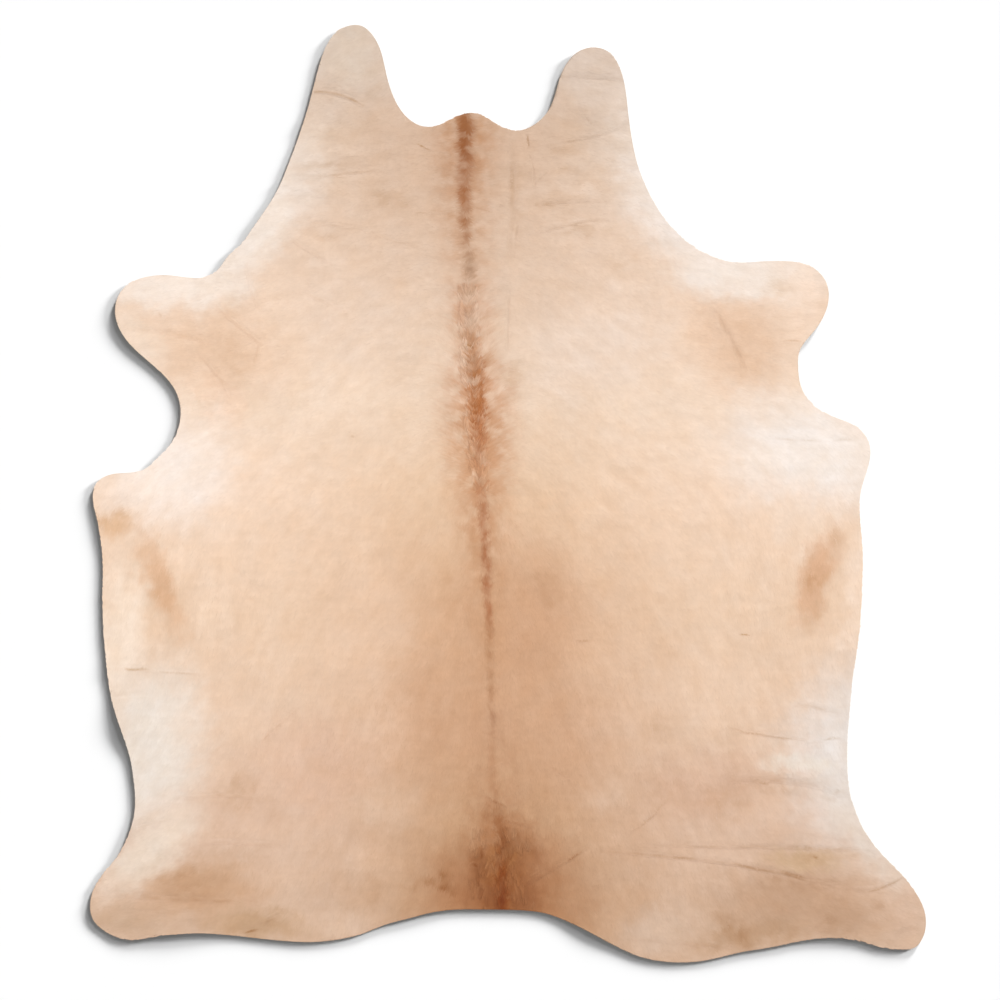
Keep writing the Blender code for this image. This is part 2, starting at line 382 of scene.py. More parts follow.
# Where wrinkles are strongest and how far they fade, in mm, and how strong those of the hind
# legs are next to those of the neck.
NECK_WRINKLES_Y, NECK_WRINKLES_FADE = 760, 340
LEG_WRINKLES_Y, LEG_WRINKLES_FADE = -980, 330
LEG_WRINKLES_OUT, LEG_WRINKLES_IN = 700, 450
LEG_WRINKLES = 0.6


def value_noise(places, pitch, seed):
    """Smooth noise from -1 to 1 whose humps are about a pitch apart."""
    rng = np.random.default_rng(seed)
    grid = rng.uniform(-1, 1, (NOISE_SIDE, NOISE_SIDE))
    across, up = (places / pitch).T + NOISE_SIDE / 2
    column, row = np.floor(across).astype(int), np.floor(up).astype(int)
    u, v = across - column, up - row
    u, v = u * u * (3 - 2 * u), v * v * (3 - 2 * v)
    corners = [grid[(row + j) % NOISE_SIDE, (column + i) % NOISE_SIDE]
               for j in (0, 1) for i in (0, 1)]
    return (corners[0] * (1 - u) + corners[1] * u) * (1 - v) + (corners[2] * (1 - u) + corners[3] * u) * v


def wrinkles(places):
    """Fine wrinkles that run across the neck and the hind legs, where skin folds as it moves."""
    x, y = places.T / MM
    fan = np.where(y > 0, FANNED_ON_NECK, FANNED_ON_LEGS)
    fanned = places[:, 1] - fan * np.abs(places[:, 0])
    across = np.stack((places[:, 0] * WRINKLE_STRETCH, fanned), axis=1)
    on_neck = soft((NECK_WRINKLES_Y - y) / NECK_WRINKLES_FADE)
    on_legs = soft((y - LEG_WRINKLES_Y) / LEG_WRINKLES_FADE)
    on_legs *= LEG_WRINKLES * soft((LEG_WRINKLES_OUT - np.abs(x)) / LEG_WRINKLES_IN)
    where = np.clip(on_neck + on_legs, 0, 1)
    return WRINKLE_HEIGHT * where * value_noise(across, WRINKLE_PITCH, seed=9)


print("wrinkles: up to", round(WRINKLE_HEIGHT / MM, 1), "mm high")

# %% [markdown]
# Height of the skin
#
# The solid under the hide is lifted here and there by a few millimetres. Its facets are far too
# coarse for a surface that is seen close up, so its height is read on the same grid and smoothed
# there. The creases and wrinkles are then added to it, and a low ridge beside each crease.

# %% Height of the skin
PRESSED_COAT = 2.2 * MM

# How often the heights are spread beyond the solid's edge, and how often they are smoothed.
MAP_SPREADINGS, MAP_SMOOTHINGS = 8, 12

# How far beside a crease its ridge runs, in half widths, and its height as a share of the depth.
RIDGE_OFFSET = 1.4
RIDGE_HEIGHT = 0.5


def height_map(node):
    """The height of the solid's top on the grid, with its facets smoothed away."""
    corners = [vertex.co.copy() for vertex in node.data.vertices]
    tree = BVHTree.FromPolygons(corners, [face.vertices[:] for face in node.data.polygons])
    heights = np.full((len(map_y), len(map_x)), np.nan)
    for row, column in np.argwhere(inside_map > -MAP_PITCH):
        hit = tree.ray_cast(Vector((map_x[column], map_y[row], 1)), Vector((0, 0, -1)))[0]
        if hit:
            heights[row, column] = hit.z
    for _ in range(MAP_SPREADINGS):
        around = np.stack([np.roll(heights, shift, axis) for shift in (-1, 1) for axis in (0, 1)])
        known = np.isfinite(around)
        mean = np.where(known, around, 0).sum(axis=0) / np.maximum(known.sum(axis=0), 1)
        heights = np.where(np.isnan(heights) & known.any(axis=0), mean, heights)
    heights = np.where(np.isnan(heights), SKIN + COAT, heights)
    for _ in range(MAP_SMOOTHINGS):
        for axis in (0, 1):
            heights = (np.roll(heights, 1, axis) + 2 * heights + np.roll(heights, -1, axis)) / 4
    return heights


top_map = height_map(hide_node)


def skin_height(places):
    """The height of the hair side of the skin, which lies one pressed coat below the solid's top."""
    ridges = RIDGE_HEIGHT * along_creases(places, aside=RIDGE_OFFSET)
    lie = read_map(top_map, places) - PRESSED_COAT - along_creases(places) + ridges + wrinkles(places)
    return np.maximum(lie, SKIN)


print("solid's top, in mm:", [round(float(height) / MM, 1) for height in (top_map.min(), top_map.max())])

# %% [markdown]
# The skin
#
# The skin is a thin sheet, cut to the outline. It starts as one many-cornered face, which is cut
# into a net of small cells by planes across it and along it. The net is cut finer along each
# crease, because a crease is narrower than a cell. Then each corner takes its height, and
# Solidify gives the sheet its thickness downwards and a cut edge.

# %% Net of cells
CELL = 12 * MM
NEAR_CREASE = 12 * MM

# The hair reaches a little past the skin, which is set in by this much.
SKIN_SET_IN = 1.3 * MM


def cut_into_cells(net, pitch):
    """Cuts everything in a flat net by planes a pitch apart, across and along it."""
    for axis in (0, 1):
        normal = [0, 0, 0]
        normal[axis] = 1
        places = [vertex.co[axis] for vertex in net.verts]
        for place in np.arange(min(places) + pitch / 2, max(places), pitch):
            everything = net.verts[:] + net.edges[:] + net.faces[:]
            point = [place if i == axis else 0 for i in range(3)]
            bmesh.ops.bisect_plane(net, geom=everything, dist=1e-6, plane_co=point, plane_no=normal)


def finer_along_creases(net):
    """Splits the cells within reach of a crease into nine."""
    net.verts.index_update()
    places = np.array([vertex.co.xy[:] for vertex in net.verts])
    near = np.zeros(len(places), bool)
    for line in crease_lines.values():
        box = ((places > line.min(axis=0) - NEAR_CREASE) & (places < line.max(axis=0) + NEAR_CREASE))
        inside = np.flatnonzero(box.all(axis=1))
        if len(inside):
            near[inside] |= from_line(line, places[inside])[0] < NEAR_CREASE
    edges = [edge for edge in net.edges if all(near[vertex.index] for vertex in edge.verts)]
    bmesh.ops.subdivide_edges(net, edges=edges, cuts=2, use_grid_fill=True)


net = bmesh.new()
net.faces.new([net.verts.new((x, y, 0)) for x, y in moved_in(outline, SKIN_SET_IN)])
cut_into_cells(net, CELL)
finer_along_creases(net)
print("skin net:", len(net.faces), "cells")

# %% Skin sheet
heights = skin_height(np.array([vertex.co.xy[:] for vertex in net.verts]))
for vertex, height in zip(net.verts, heights):
    vertex.co.z = height
bmesh.ops.recalc_face_normals(net, faces=net.faces)
if sum(face.normal.z for face in net.faces) < 0:
    bmesh.ops.reverse_faces(net, faces=net.faces)
skin_mesh = bpy.data.meshes.new("skin")
net.to_mesh(skin_mesh)
net.free()
skin_mesh.shade_smooth()
skin = bpy.data.objects.new("skin", skin_mesh)
bpy.context.scene.collection.objects.link(skin)

FLESH_SIDE_SLOT = 1
thickness = skin.modifiers.new("skin thickness", "SOLIDIFY")
thickness.thickness = SKIN
thickness.offset = -1.0
thickness.use_even_offset = False
thickness.material_offset = FLESH_SIDE_SLOT
thickness.material_offset_rim = FLESH_SIDE_SLOT
print("skin sheet:", round(thickness.thickness / MM, 1), "mm thick")

# %% [markdown]
# Which way the hair lies
#
# On cattle the hair leaves the back line sideways on the neck, and slants more and more towards
# the tail further back. At the withers of this hide it turns round: there it grows up and away
# from the back line, in a long whorl of V-shaped tufts. The table gives the lie of the hair at
# a few places on the right half. The left half mirrors it, and the hair between blends them.

# %% Lie of the hair
# Columns: distance from the back line and y in mm, direction in degrees anticlockwise from
# straight out, and how far that place has a say, in mm.
LIE_OF_HAIR = {
    "neck flap": (240, 930, -25, 150),
    "nape, beside the back line": (30, 760, -8, 90),
    "neck": (230, 700, -12, 170),
    "neck, beside the back line": (30, 560, -4, 80),
    "shoulder": (300, 430, -32, 190),
    "fore leg": (620, 400, -12, 190),
    "top of the whorl": (20, 430, 28, 50),
    "whorl, high": (18, 340, 66, 50),
    "whorl, middle": (18, 240, 74, 50),
    "whorl, low": (18, 140, 68, 50),
    "foot of the whorl": (18, 50, 20, 50),
    "beside the whorl": (95, 240, 6, 70),
    "ribs, high": (260, 120, -38, 180),
    "back": (18, -80, -78, 70),
    "loin": (18, -320, -84, 120),
    "ribs, low": (260, -180, -55, 200),
    "bay behind the fore leg": (700, 90, -40, 150),
    "flank": (740, -250, -78, 180),
    "belly edge": (740, -600, -60, 170),
    "haunch": (330, -560, -72, 220),
    "rump": (20, -700, -88, 150),
    "tail": (10, -900, -90, 110),
    "thigh": (430, -860, -66, 180),
    "hind shank": (800, -920, -24, 190),
}

# How wide the parting on the back line is, and how far and how often it meanders.
PARTING_WIDTH = 10 * MM
PARTING_MEANDER = 5 * MM
PARTING_BEND = 45 * MM

# The say that each place of the table keeps everywhere, so that no hair is without a direction.
SAY_EVERYWHERE = 1e-4

# Columns: y in mm, and how far the back line lies right of the middle there, in mm.
BACK_LINE = ((880, -94), (470, -91), (250, -80), (60, -66), (-145, -50), (-500, -37), (-950, -14))

# A lock is drawn out by adding the noise of a few places, these many pitches along the hair.
LOCK_STEPS = (-1.6, -0.8, 0.0, 0.8, 1.6)
LOCK_SHARE = 0.35


def lock_noise(places, arrows, pitch, seed):
    """Noise from about -1 to 1 that is drawn out along the lie of the hair."""
    along = [places + step * pitch * arrows for step in LOCK_STEPS]
    return LOCK_SHARE * sum(value_noise(step_places, pitch, seed) for step_places in along)


def back_line_x(y):
    """How far right of the middle the back line runs, at any y."""
    ys, xs = np.array(BACK_LINE[::-1]).T * MM
    return np.interp(y, ys, xs)


def lie_of_hair(places):
    """The direction the hair lies in at each place, as a unit arrow."""
    meander = PARTING_MEANDER * value_noise(places * (0, 1), PARTING_BEND, seed=10)
    out = places[:, 0] - back_line_x(places[:, 1]) - meander
    side = np.tanh(out / PARTING_WIDTH)
    arrows = np.zeros((len(places), 2))
    for from_back, y, direction, reach in LIE_OF_HAIR.values():
        off = np.hypot(np.abs(out) - from_back * MM, places[:, 1] - y * MM) / (reach * MM)
        say = np.exp(-(off**2)) + SAY_EVERYWHERE / (1 + off**4)
        arrows[:, 0] += say * cos(radians(direction)) * side
        arrows[:, 1] += say * sin(radians(direction))
    return arrows / np.hypot(*arrows.T)[:, None]


print("lie of the hair on the back line:", lie_of_hair(np.array(((0.0, 0.0),)))[0].round(2))

# %% [markdown]
# The coat
#
# Real cattle hair is 10 to 20 mm long and a tenth of a millimetre thick, and a hide has many
# millions. Here one blade stands for a lock of hairs that lie together: a narrow tapered strip
# of three triangles. The strips of a region are joined in one mesh, built from arrays, because
# an operator for each of a quarter of a million strips would be far too slow. A hair has the
# colour of the skin it grows from, so each strip carries the place its colour is looked up at.
# The hairs of a lock are rooted one behind the other, so that place moves along the strip too,
# but by less than half as much.

# %% Hair blades
# The corners of a blade are the two of its root, the two halfway and its tip. A face of four and a
# face of three use them in these turns, and these are their places along and across the blade.
HALFWAY = 0.5
BLADE_CORNERS = 5
CORNERS_ALONG = (0.0, 0.0, HALFWAY, HALFWAY, 1.0)
BLADE_FACES, FACE_STARTS = (0, 2, 3, 1, 2, 4, 3), (0, 4)
FACES_ACROSS, FACES_DOWN = (0, 0, 1, 1, 0, 0.5, 1), (0, 0.5, 0.5, 0, 0.5, 1, 0.5)

# The share of a blade's length over which the places lie that its colour is looked up at.
ROOTS_SPREAD = 0.45

# How many streaks a blade shows across, and how long they are.
HAIRS_ACROSS = 5
STREAK_LENGTH = 12 * MM

# How high a blade lies over the skin halfway and at its tip, and how much more on top of the coat.
HALFWAY_UP, TIP_UP = 0.25 * MM, 0.31 * MM
HALFWAY_MORE, TIP_MORE = 0.175 * MM, 0.20 * MM
ROOT_HEIGHT = -0.05 * MM

# How far apart in the streaks two blades lie, so that no two show the same ones.
APART_ACROSS, APART_DOWN = 9.7, 31.3

# What the darkest and the lightest hair make of the red, green and blue of the coat.
DARK_TONE, LIGHT_TONE = (0.90, 0.86, 0.81), (1.08, 1.12, 1.165)


def turned(arrows, angles):
    """Flat unit arrows, turned anticlockwise by angles in radians."""
    c, s = np.cos(angles), np.sin(angles)
    return np.stack((arrows[:, 0] * c - arrows[:, 1] * s, arrows[:, 0] * s + arrows[:, 1] * c), axis=1)


def blade_corners(roots, arrows, lengths, widths, bends, rolls, lifts, root_height):
    """The five corners of each blade: two at its root, two halfway and one at its tip."""
    middles = roots + arrows * (lengths * HALFWAY)[:, None]
    tips = middles + turned(arrows, bends) * (lengths * (1 - HALFWAY))[:, None]
    aside = np.stack((-arrows[:, 1], arrows[:, 0]), axis=1) * (widths / 2)[:, None]
    lean = widths / 2 * np.tan(rolls)
    starts_at = np.full(len(roots), root_height)
    return np.stack([
        np.column_stack((place, skin_height(place) + above))
        for place, above in (
            (roots - aside, starts_at - lean),
            (roots + aside, starts_at + lean),
            (middles - aside, lifts[:, 0] - lean),
            (middles + aside, lifts[:, 0] + lean),
            (tips, lifts[:, 1]),
        )
    ], axis=1)


def joined_blades(name, corners):
    """One mesh of all the blades, and the corner that each corner of a face uses."""
    first = np.arange(len(corners))[:, None] * BLADE_CORNERS
    turns = first + np.array(BLADE_FACES)
    starts = np.arange(len(corners))[:, None] * turns.shape[1] + np.array(FACE_STARTS)
    mesh = bpy.data.meshes.new(name)
    mesh.vertices.add(len(corners) * BLADE_CORNERS)
    mesh.loops.add(turns.size)
    mesh.polygons.add(starts.size)
    mesh.vertices.foreach_set("co", corners.ravel())
    mesh.polygons.foreach_set("loop_start", starts.ravel())
    mesh.loops.foreach_set("vertex_index", turns.ravel())
    mesh.update(calc_edges=True)
    return mesh, turns.ravel()


def blade_mesh(name, roots, arrows, lengths, widths, depths, tones, bends, rolls,
               extra_lift=0.0, root_height=ROOT_HEIGHT):
    """One piece of tapered hair blades that follow the skin.

    depths says where in the coat each blade lies, from 0 at the skin to 1 on top, bends how far
    its tip swings aside as an angle, and rolls how far it leans over about its own length.
    """
    lifts = np.column_stack((HALFWAY_UP + HALFWAY_MORE * depths, TIP_UP + TIP_MORE * depths))
    lifts += extra_lift
    corners = blade_corners(roots, arrows, lengths, widths, bends, rolls, lifts, root_height)
    mesh, turns = joined_blades(name, corners)

    rooted = corners * (ROOTS_SPREAD, ROOTS_SPREAD, 0)
    rooted[:, :, :2] += (1 - ROOTS_SPREAD) * roots[:, None]
    for layer, kind, field, values in (
        ("root", "FLOAT_VECTOR", "vector", rooted),
        ("tone", "FLOAT", "value", np.repeat(tones, BLADE_CORNERS)),
        ("along", "FLOAT", "value", np.tile(CORNERS_ALONG, len(roots))),
    ):
        mesh.attributes.new(layer, kind, "POINT").data.foreach_set(field, values.ravel())

    flat = corners.reshape(-1, 3)[turns, :2]
    spread = (flat - flat.min(axis=0)) / np.ptp(flat, axis=0).max()
    across = HAIRS_ACROSS * (np.array(FACES_ACROSS) + APART_ACROSS * tones[:, None])
    down = lengths[:, None] / STREAK_LENGTH * np.array(FACES_DOWN)
    strand = np.stack((across, down + APART_DOWN * depths[:, None]), axis=2)
    for layer, places in (("OFBake", spread), ("strand", strand)):
        mesh.uv_layers.new(name=layer).data.foreach_set("uv", places.ravel())
    mesh.shade_smooth()
    piece = bpy.data.objects.new(name, mesh)
    bpy.context.scene.collection.objects.link(piece)
    return piece


# How often the blades are trimmed at the cut edge, and the shortest that is left.
TRIMMINGS = 4
SHORTEST = 1 * MM


def kept_in(roots, arrows, lengths, overhang):
    """Blade lengths, shortened where a blade would reach past the cut edge by more than its overhang."""
    for _ in range(TRIMMINGS):
        over = -read_map(inside_map, roots + arrows * lengths[:, None]) - overhang
        lengths = np.where(over > 0, np.maximum(lengths - over, SHORTEST), lengths)
    return lengths


print("tones of hair, from", DARK_TONE, "to", LIGHT_TONE, "of the coat's colour")

# %% [markdown]
# Smudges of darker hair
#
# Besides its broad shades a hide has smudges where darker, redder hair grows more thickly: in the
# streaks on the flanks, on the legs, and most of all round the root of the tail. Paler places
# lie between them. Both are a matter of single hairs, so they are given to the hairs themselves,
# as a change of their tone, and the colouring further on is left with the broad shades. The thin
# rows along folds of the neck and the haunches are painted shade, given as a darker tone too.

# %% Smudges
# Columns: x, y, half length, half width in mm, turn in degrees, and how many tones darker. A
# paler place has a number of tones below 0.
SMUDGES = {
    "left flank streak, upper": (-812, -128, 75, 42, -48, 0.14),
    "left flank streak, middle": (-772, -212, 75, 60, -75, 0.50),
    "left flank streak, lower": (-751, -300, 85, 34, -85, 0.30),
    "right flank streak, upper": (734, -96, 50, 30, 75, 0.50),
    "right flank streak, middle": (694, -172, 66, 66, 0, 0.65),
    "right flank streak, lower": (680, -258, 90, 42, 76, 0.45),
    "right flank corner": (762, -35, 60, 50, 0, 0.20),
    "left fore leg": (-605, 285, 140, 85, -55, 0.40),
    "left fore leg, upper": (-600, 420, 130, 50, 20, 0.25),
    "right fore leg": (545, 280, 130, 60, -60, 0.26),
    "right fore leg, upper": (470, 410, 110, 60, -40, 0.20),
    "left neck, upper": (-306, 825, 90, 40, 0, 0.20),
    # Painted shade along a fold.
    "left neck, upper fold, painted shade": (-395, 738, 130, 20, 5, 0.45),
    "left neck, pale streak": (-385, 768, 80, 12, 0, -0.30),
    # Painted shade along a fold.
    "left neck, painted shade along the fold": (-385, 704, 75, 9, 0, 0.30),
    "left neck, tan": (-266, 655, 80, 40, 0, 0.58),
    # Painted shade along a fold.
    "left neck, low fold, painted shade": (-410, 585, 140, 18, -22, 0.35),
    "right neck, upper tan": (106, 764, 62, 34, 0, 0.48),
    # Painted shade along a fold.
    "right neck, thin fold, painted shade": (124, 717, 70, 12, 0, 0.42),
    "right neck, pale streak": (151, 684, 95, 12, 0, -0.40),
    "right neck, middle tan": (88, 650, 80, 32, 0, 0.48),
    "right neck, low tan": (162, 590, 85, 14, 8, 0.45),
    "right neck, low pale": (150, 614, 85, 10, 6, -0.25),
    # Painted shade along a fold.
    "right neck, lowest fold, painted shade": (260, 520, 130, 18, 38, 0.30),
    "neck, grey band": (10, 657, 175, 16, 90, 0.30),
    "over the tail": (-23, -712, 60, 45, 0, 0.60),
    "tail, left tuft": (-63, -812, 32, 50, 0, 0.70),
    "tail, left of the core": (-42, -850, 18, 60, 0, 0.55),
    "tail, dark spot": (-138, -860, 30, 38, 0, 1.3),
    "tail, left bar": (-180, -866, 85, 18, 0, 0.85),
    "tail, right tuft": (14, -768, 40, 60, 0, 0.82),
    "tail, right of the core": (52, -812, 42, 60, -20, 0.55),
    "tail, low core": (-10, -905, 30, 50, 0, 0.50),
    "tail, gap, left": (-38, -830, 14, 60, 0, -0.60),
    "tail, high core": (-14, -760, 22, 26, 0, 0.50),
    # These four are painted shade along folds of the haunches.
    "over the right haunch, painted shade along the fold": (586, -653, 125, 26, -3, 0.42),
    "over the right haunch, painted shade at the fold's end": (731, -668, 50, 18, -8, 0.35),
    "left haunch, painted shade along the fold": (-610, -790, 130, 22, 0, 0.25),
    "right haunch, low, painted shade along the fold": (560, -790, 60, 22, -4, 0.25),
    "tail, gap": (24, -868, 22, 44, 0, -0.85),
    "tail edge, right": (70, -898, 75, 46, 0, 0.50),
    "tail edge, left": (-65, -894, 75, 42, 0, 0.60),
    "left of the tail": (-95, -800, 85, 60, 20, 0.30),
    "left haunch": (-592, -662, 88, 62, 0, 0.50),
    "right haunch": (474, -684, 120, 70, 0, 0.54),
    "right thigh, low": (465, -985, 90, 62, 0, 0.72),
    "right loin": (343, -535, 140, 100, 0, 0.22),
    "left hind leg, wedge": (-730, -848, 110, 30, 28, 0.50),
    "left hind leg": (-690, -885, 130, 66, 10, 0.40),
    "left thigh": (-296, -868, 34, 56, 0, 0.35),
    "right haunch, ochre": (676, -807, 85, 26, -6, 0.45),
    "right hock": (600, -862, 85, 34, -6, 0.42),
    "right hind shank": (731, -952, 70, 40, 10, 0.60),
    "right hind leg, upper": (651, -862, 70, 40, 0, 0.25),
    "right ribs": (360, -285, 120, 95, 0, 0.13),
    "left neck flap": (-290, 885, 60, 50, 0, 0.20),
    "right hind leg, streak": (497, -956, 95, 28, -56, 0.55),
    "beside the back line": (74, -205, 65, 62, 0, 0.45),
    "left of the loin": (-120, -470, 90, 150, 0, 0.15),
    "left of the back line": (-123, -200, 80, 100, 0, 0.22),
    "right loin, high tan": (60, -345, 70, 80, 0, 0.18),
    "right haunch, inner": (336, -655, 85, 60, 0, 0.32),
    "right haunch, light": (488, -867, 60, 26, -8, -0.35),
    "right flank, tan": (475, -521, 70, 40, 0, 0.30),
    "right hind leg, low": (585, -992, 60, 36, 8, 0.30),
    "left haunch, inner": (-530, -707, 60, 50, 0, 0.20),
    "left hind leg, rim": (-786, -827, 60, 26, 40, 0.34),
    "left hind leg, low": (-704, -950, 80, 36, 0, 0.25),
    "left toe, light": (-893, -876, 44, 40, 0, -0.40),
    "right flank, light": (749, -312, 40, 60, 0, -0.34),
    "left elbow, tan": (-688, 220, 44, 44, 0, 0.25),
    "right of the whorl": (0, 252, 36, 80, 0, 0.44),
    "right ribs, tan": (379, -218, 60, 60, 0, 0.20),
    "left neck flap, tan": (-290, 912, 44, 50, 0, 0.22),
    "right thigh, upper light": (234, -758, 50, 50, 0, -0.28),
    "right fore leg, high tan": (600, 461, 44, 40, 0, 0.34),
    "back, beside the line": (-66, -118, 30, 60, 0, 0.38),
    "back, pale beside the line": (-8, -78, 20, 46, 0, -0.25),
    "over the tail, right": (62, -684, 44, 50, 0, 0.22),
    "right ribs, high tan": (421, -77, 60, 50, 0, 0.20),
    "right loin, low tan": (345, -350, 60, 50, 0, 0.20),
    "tail, right rust": (102, -858, 50, 50, 0, 0.28),
    "right toe, tan": (814, -908, 50, 36, 0, 0.35),
    "left thigh, outer light": (-552, -854, 44, 36, 0, -0.24),
    "left loin, light": (-275, -500, 90, 120, 0, -0.40),
    "left ribs, light": (-309, -153, 80, 80, 0, -0.25),
    "left flank, light": (-660, -250, 70, 120, 0, -0.38),
    "left flank, light over the streak": (-712, -128, 55, 60, 0, -0.22),
    "left flank edge, light": (-880, -168, 36, 60, 0, -0.26),
    "left thigh, light": (-318, -800, 110, 66, 0, -0.38),
    "right thigh, light": (225, -955, 60, 60, 0, -0.35),
    "right of the loin, light": (175, -490, 60, 60, 0, -0.26),
    "right belly, light": (656, -434, 50, 50, 0, -0.20),
    "left neck flap, low light": (-409, 842, 50, 60, 0, -0.22),
    "right loin, tan": (327, -501, 70, 60, 0, 0.24),
    "right shoulder, light": (307, 575, 70, 80, 0, -0.22),
    "left shoulder, light": (-560, 262, 50, 60, 0, -0.25),
}

# How far and how often noise moves the border of a smudge, and how much another one mottles it.
SMUDGE_WARP, SMUDGE_WARP_PITCH = 14 * MM, 24 * MM
SMUDGE_GRAIN, SMUDGE_GRAIN_PITCH = 0.5, 12 * MM

# How far the tones of neighbouring locks differ where no coarser hair grows.
EVEN_SPREAD = 0.16

# Where coarser hair of several tones grows. Columns: x, y, half width, half height in mm, amount.
COARSE = {
    "whorl on the withers": (-75, 240, 75, 240, 0.22),
    "root of the tail": (-10, -860, 170, 190, 0.55),
}


def smudged(places):
    """How many tones darker the hair is at each place, painted shade along some folds included."""
    warp = [SMUDGE_WARP * value_noise(places, SMUDGE_WARP_PITCH, seed) for seed in (16, 17)]
    moved = (places + np.stack(warp, axis=1)) / MM
    darker = np.zeros(len(places))
    for x, y, half_length, half_width, turn, tones in SMUDGES.values():
        c, s = cos(radians(turn)), sin(radians(turn))
        right, up = (moved - (x, y)).T
        reach = np.hypot((right * c + up * s) / half_length, (up * c - right * s) / half_width)
        darker += tones * soft(reach)
    return darker * (1 + SMUDGE_GRAIN * value_noise(places, SMUDGE_GRAIN_PITCH, seed=18))


def tone_spread(places):
    """How far the tones of neighbouring locks differ at each place."""
    spread = np.full(len(places), EVEN_SPREAD)
    for x, y, half_width, half_height, amount in COARSE.values():
        right, up = (places / MM - (x, y)).T
        spread += amount * soft(np.hypot(right / half_width, up / half_height))
    return spread


print("smudges:", len(SMUDGES))

# %% [markdown]
# Planting the coat
#
# The roots stand on a grid that is shaken until no rows show. Hairs that grow side by side hold
# together in small locks, so the direction and tone of a blade are mostly those of its lock, with
# a little of its own. The bands of the coat are separate pieces, because one mesh would be very
# large.

# %% Coat
# How far apart the roots stand, how far they are shaken as a share of that, and how far in from
# the cut edge the first of them stand.
ROOT_PITCH = 3.42 * MM
SHAKEN = 0.75
FIRST_ROOTS = 2 * MM
HAIR_LENGTH = 16 * MM
HAIR_WIDTH = 3.2 * MM

# How far the tip of a blade may reach past the cut edge. Below 0 it stops short of it.
LEAST_OVERHANG, MOST_OVERHANG = -1.9 * MM, -0.9 * MM

# How much a blade turns, in radians, with the drift of the whole coat, with its lock and alone.
TURN_BY_DRIFT, TURN_BY_LOCK, TURN_ALONE = 0.18, 0.12, 0.06

# The size of a lock, of a place of one tone and of a drift, which also changes the length.
LOCK_PITCH, TONE_PITCH, DRIFT_PITCH = 9 * MM, 14 * MM, 70 * MM
LENGTH_BY_DRIFT = 0.15

# The tone of most hair, how much a single blade differs from it, and how much it bends and leans.
MIDDLE_TONE, TONE_ALONE = 0.5, 0.02
BEND, ROLL = 0.10, 0.02

# Columns: first and last y of each band, in mm.
COAT_BANDS = {
    "coat_neck": (410, 1100),
    "coat_shoulders": (60, 410),
    "coat_back": (-290, 60),
    "coat_loin": (-630, -290),
    "coat_rump": (-1100, -630),
}


def planted(pitch, seed):
    """Root places on a shaken grid all over the hide."""
    rng = np.random.default_rng(seed)
    x = np.arange(outline[:, 0].min(), outline[:, 0].max(), pitch)
    y = np.arange(outline[:, 1].min(), outline[:, 1].max(), pitch)
    grid = np.stack(np.meshgrid(x, y), axis=2).reshape(-1, 2)
    grid += rng.uniform(-SHAKEN * pitch, SHAKEN * pitch, grid.shape)
    return grid[read_map(inside_map, grid) > FIRST_ROOTS]


def coat_piece(name, roots, seed):
    """One band of the coat."""
    rng = np.random.default_rng(seed)
    count = len(roots)
    arrows = lie_of_hair(roots)
    locks = lock_noise(roots, arrows, LOCK_PITCH, seed=11)
    drift = value_noise(roots, DRIFT_PITCH, seed=12)
    alone = rng.normal(0, TURN_ALONE, count)
    arrows = turned(arrows, TURN_BY_DRIFT * drift + TURN_BY_LOCK * locks + alone)
    lengths = HAIR_LENGTH * (1 + LENGTH_BY_DRIFT * drift) * rng.uniform(0.75, 1.25, count)
    lengths = kept_in(roots, arrows, lengths, rng.uniform(LEAST_OVERHANG, MOST_OVERHANG, count))
    widths = HAIR_WIDTH * rng.uniform(0.7, 1.3, count)
    depths = rng.uniform(0, 1, count)
    tones = MIDDLE_TONE + tone_spread(roots) * lock_noise(roots, arrows, TONE_PITCH, seed=13)
    tones += rng.normal(0, TONE_ALONE, count)
    tones -= smudged(roots)
    bends = rng.normal(0, BEND, count) + BEND * locks
    rolls = rng.normal(0, ROLL, count)
    return blade_mesh(name, roots, arrows, lengths, widths, depths, tones, bends, rolls)


all_roots = planted(ROOT_PITCH, seed=1)
coat = []
for seed, (name, (low_y, high_y)) in enumerate(COAT_BANDS.items(), start=21):
    band = (all_roots[:, 1] >= low_y * MM) & (all_roots[:, 1] < high_y * MM)
    coat.append(coat_piece(name, all_roots[band], seed))
    print(name, int(band.sum()), "blades")

# %% [markdown]
# Longer tufts
#
# On the withers the hair of the whorl is longer, and it stands in pointed wisps, one V over the
# next. Over the root of the tail it hangs in longer wisps as well. A wisp is fourteen blades with
# their roots side by side and their tips together, so it is planted as one and then drawn in.

# %% Wisps
BLADES_IN_A_WISP = 14
WISP_LIFT = 0.8 * MM
WISP_WIDTHS = (1.0 * MM, 1.9 * MM)

# How far the roots of a wisp spread, and what share of that is left at its tip.
WISP_ROOTS = 4.5 * MM
DRAWN_IN = 0.3

# How far wisps stray from their direction in degrees, and from even steps along the back line.
STRAY = 9
WISP_UNEVEN = 7 * MM

# How much the tones of wisps differ, and those of the blades in one, and how these turn.
WISP_TONES, TONES_IN_A_WISP = 0.16, 0.05
WISP_TURN = 0.12

# Columns: first y, last y and step in mm, direction in degrees as in LIE_OF_HAIR, length of the
# wisps in mm, and how far from the back line they are rooted, in mm.
WISPS = {
    "withers": (440, 0, 8, 68, 30, 14),
    "root of the tail": (-740, -935, 6, -86, 30, 60),
}


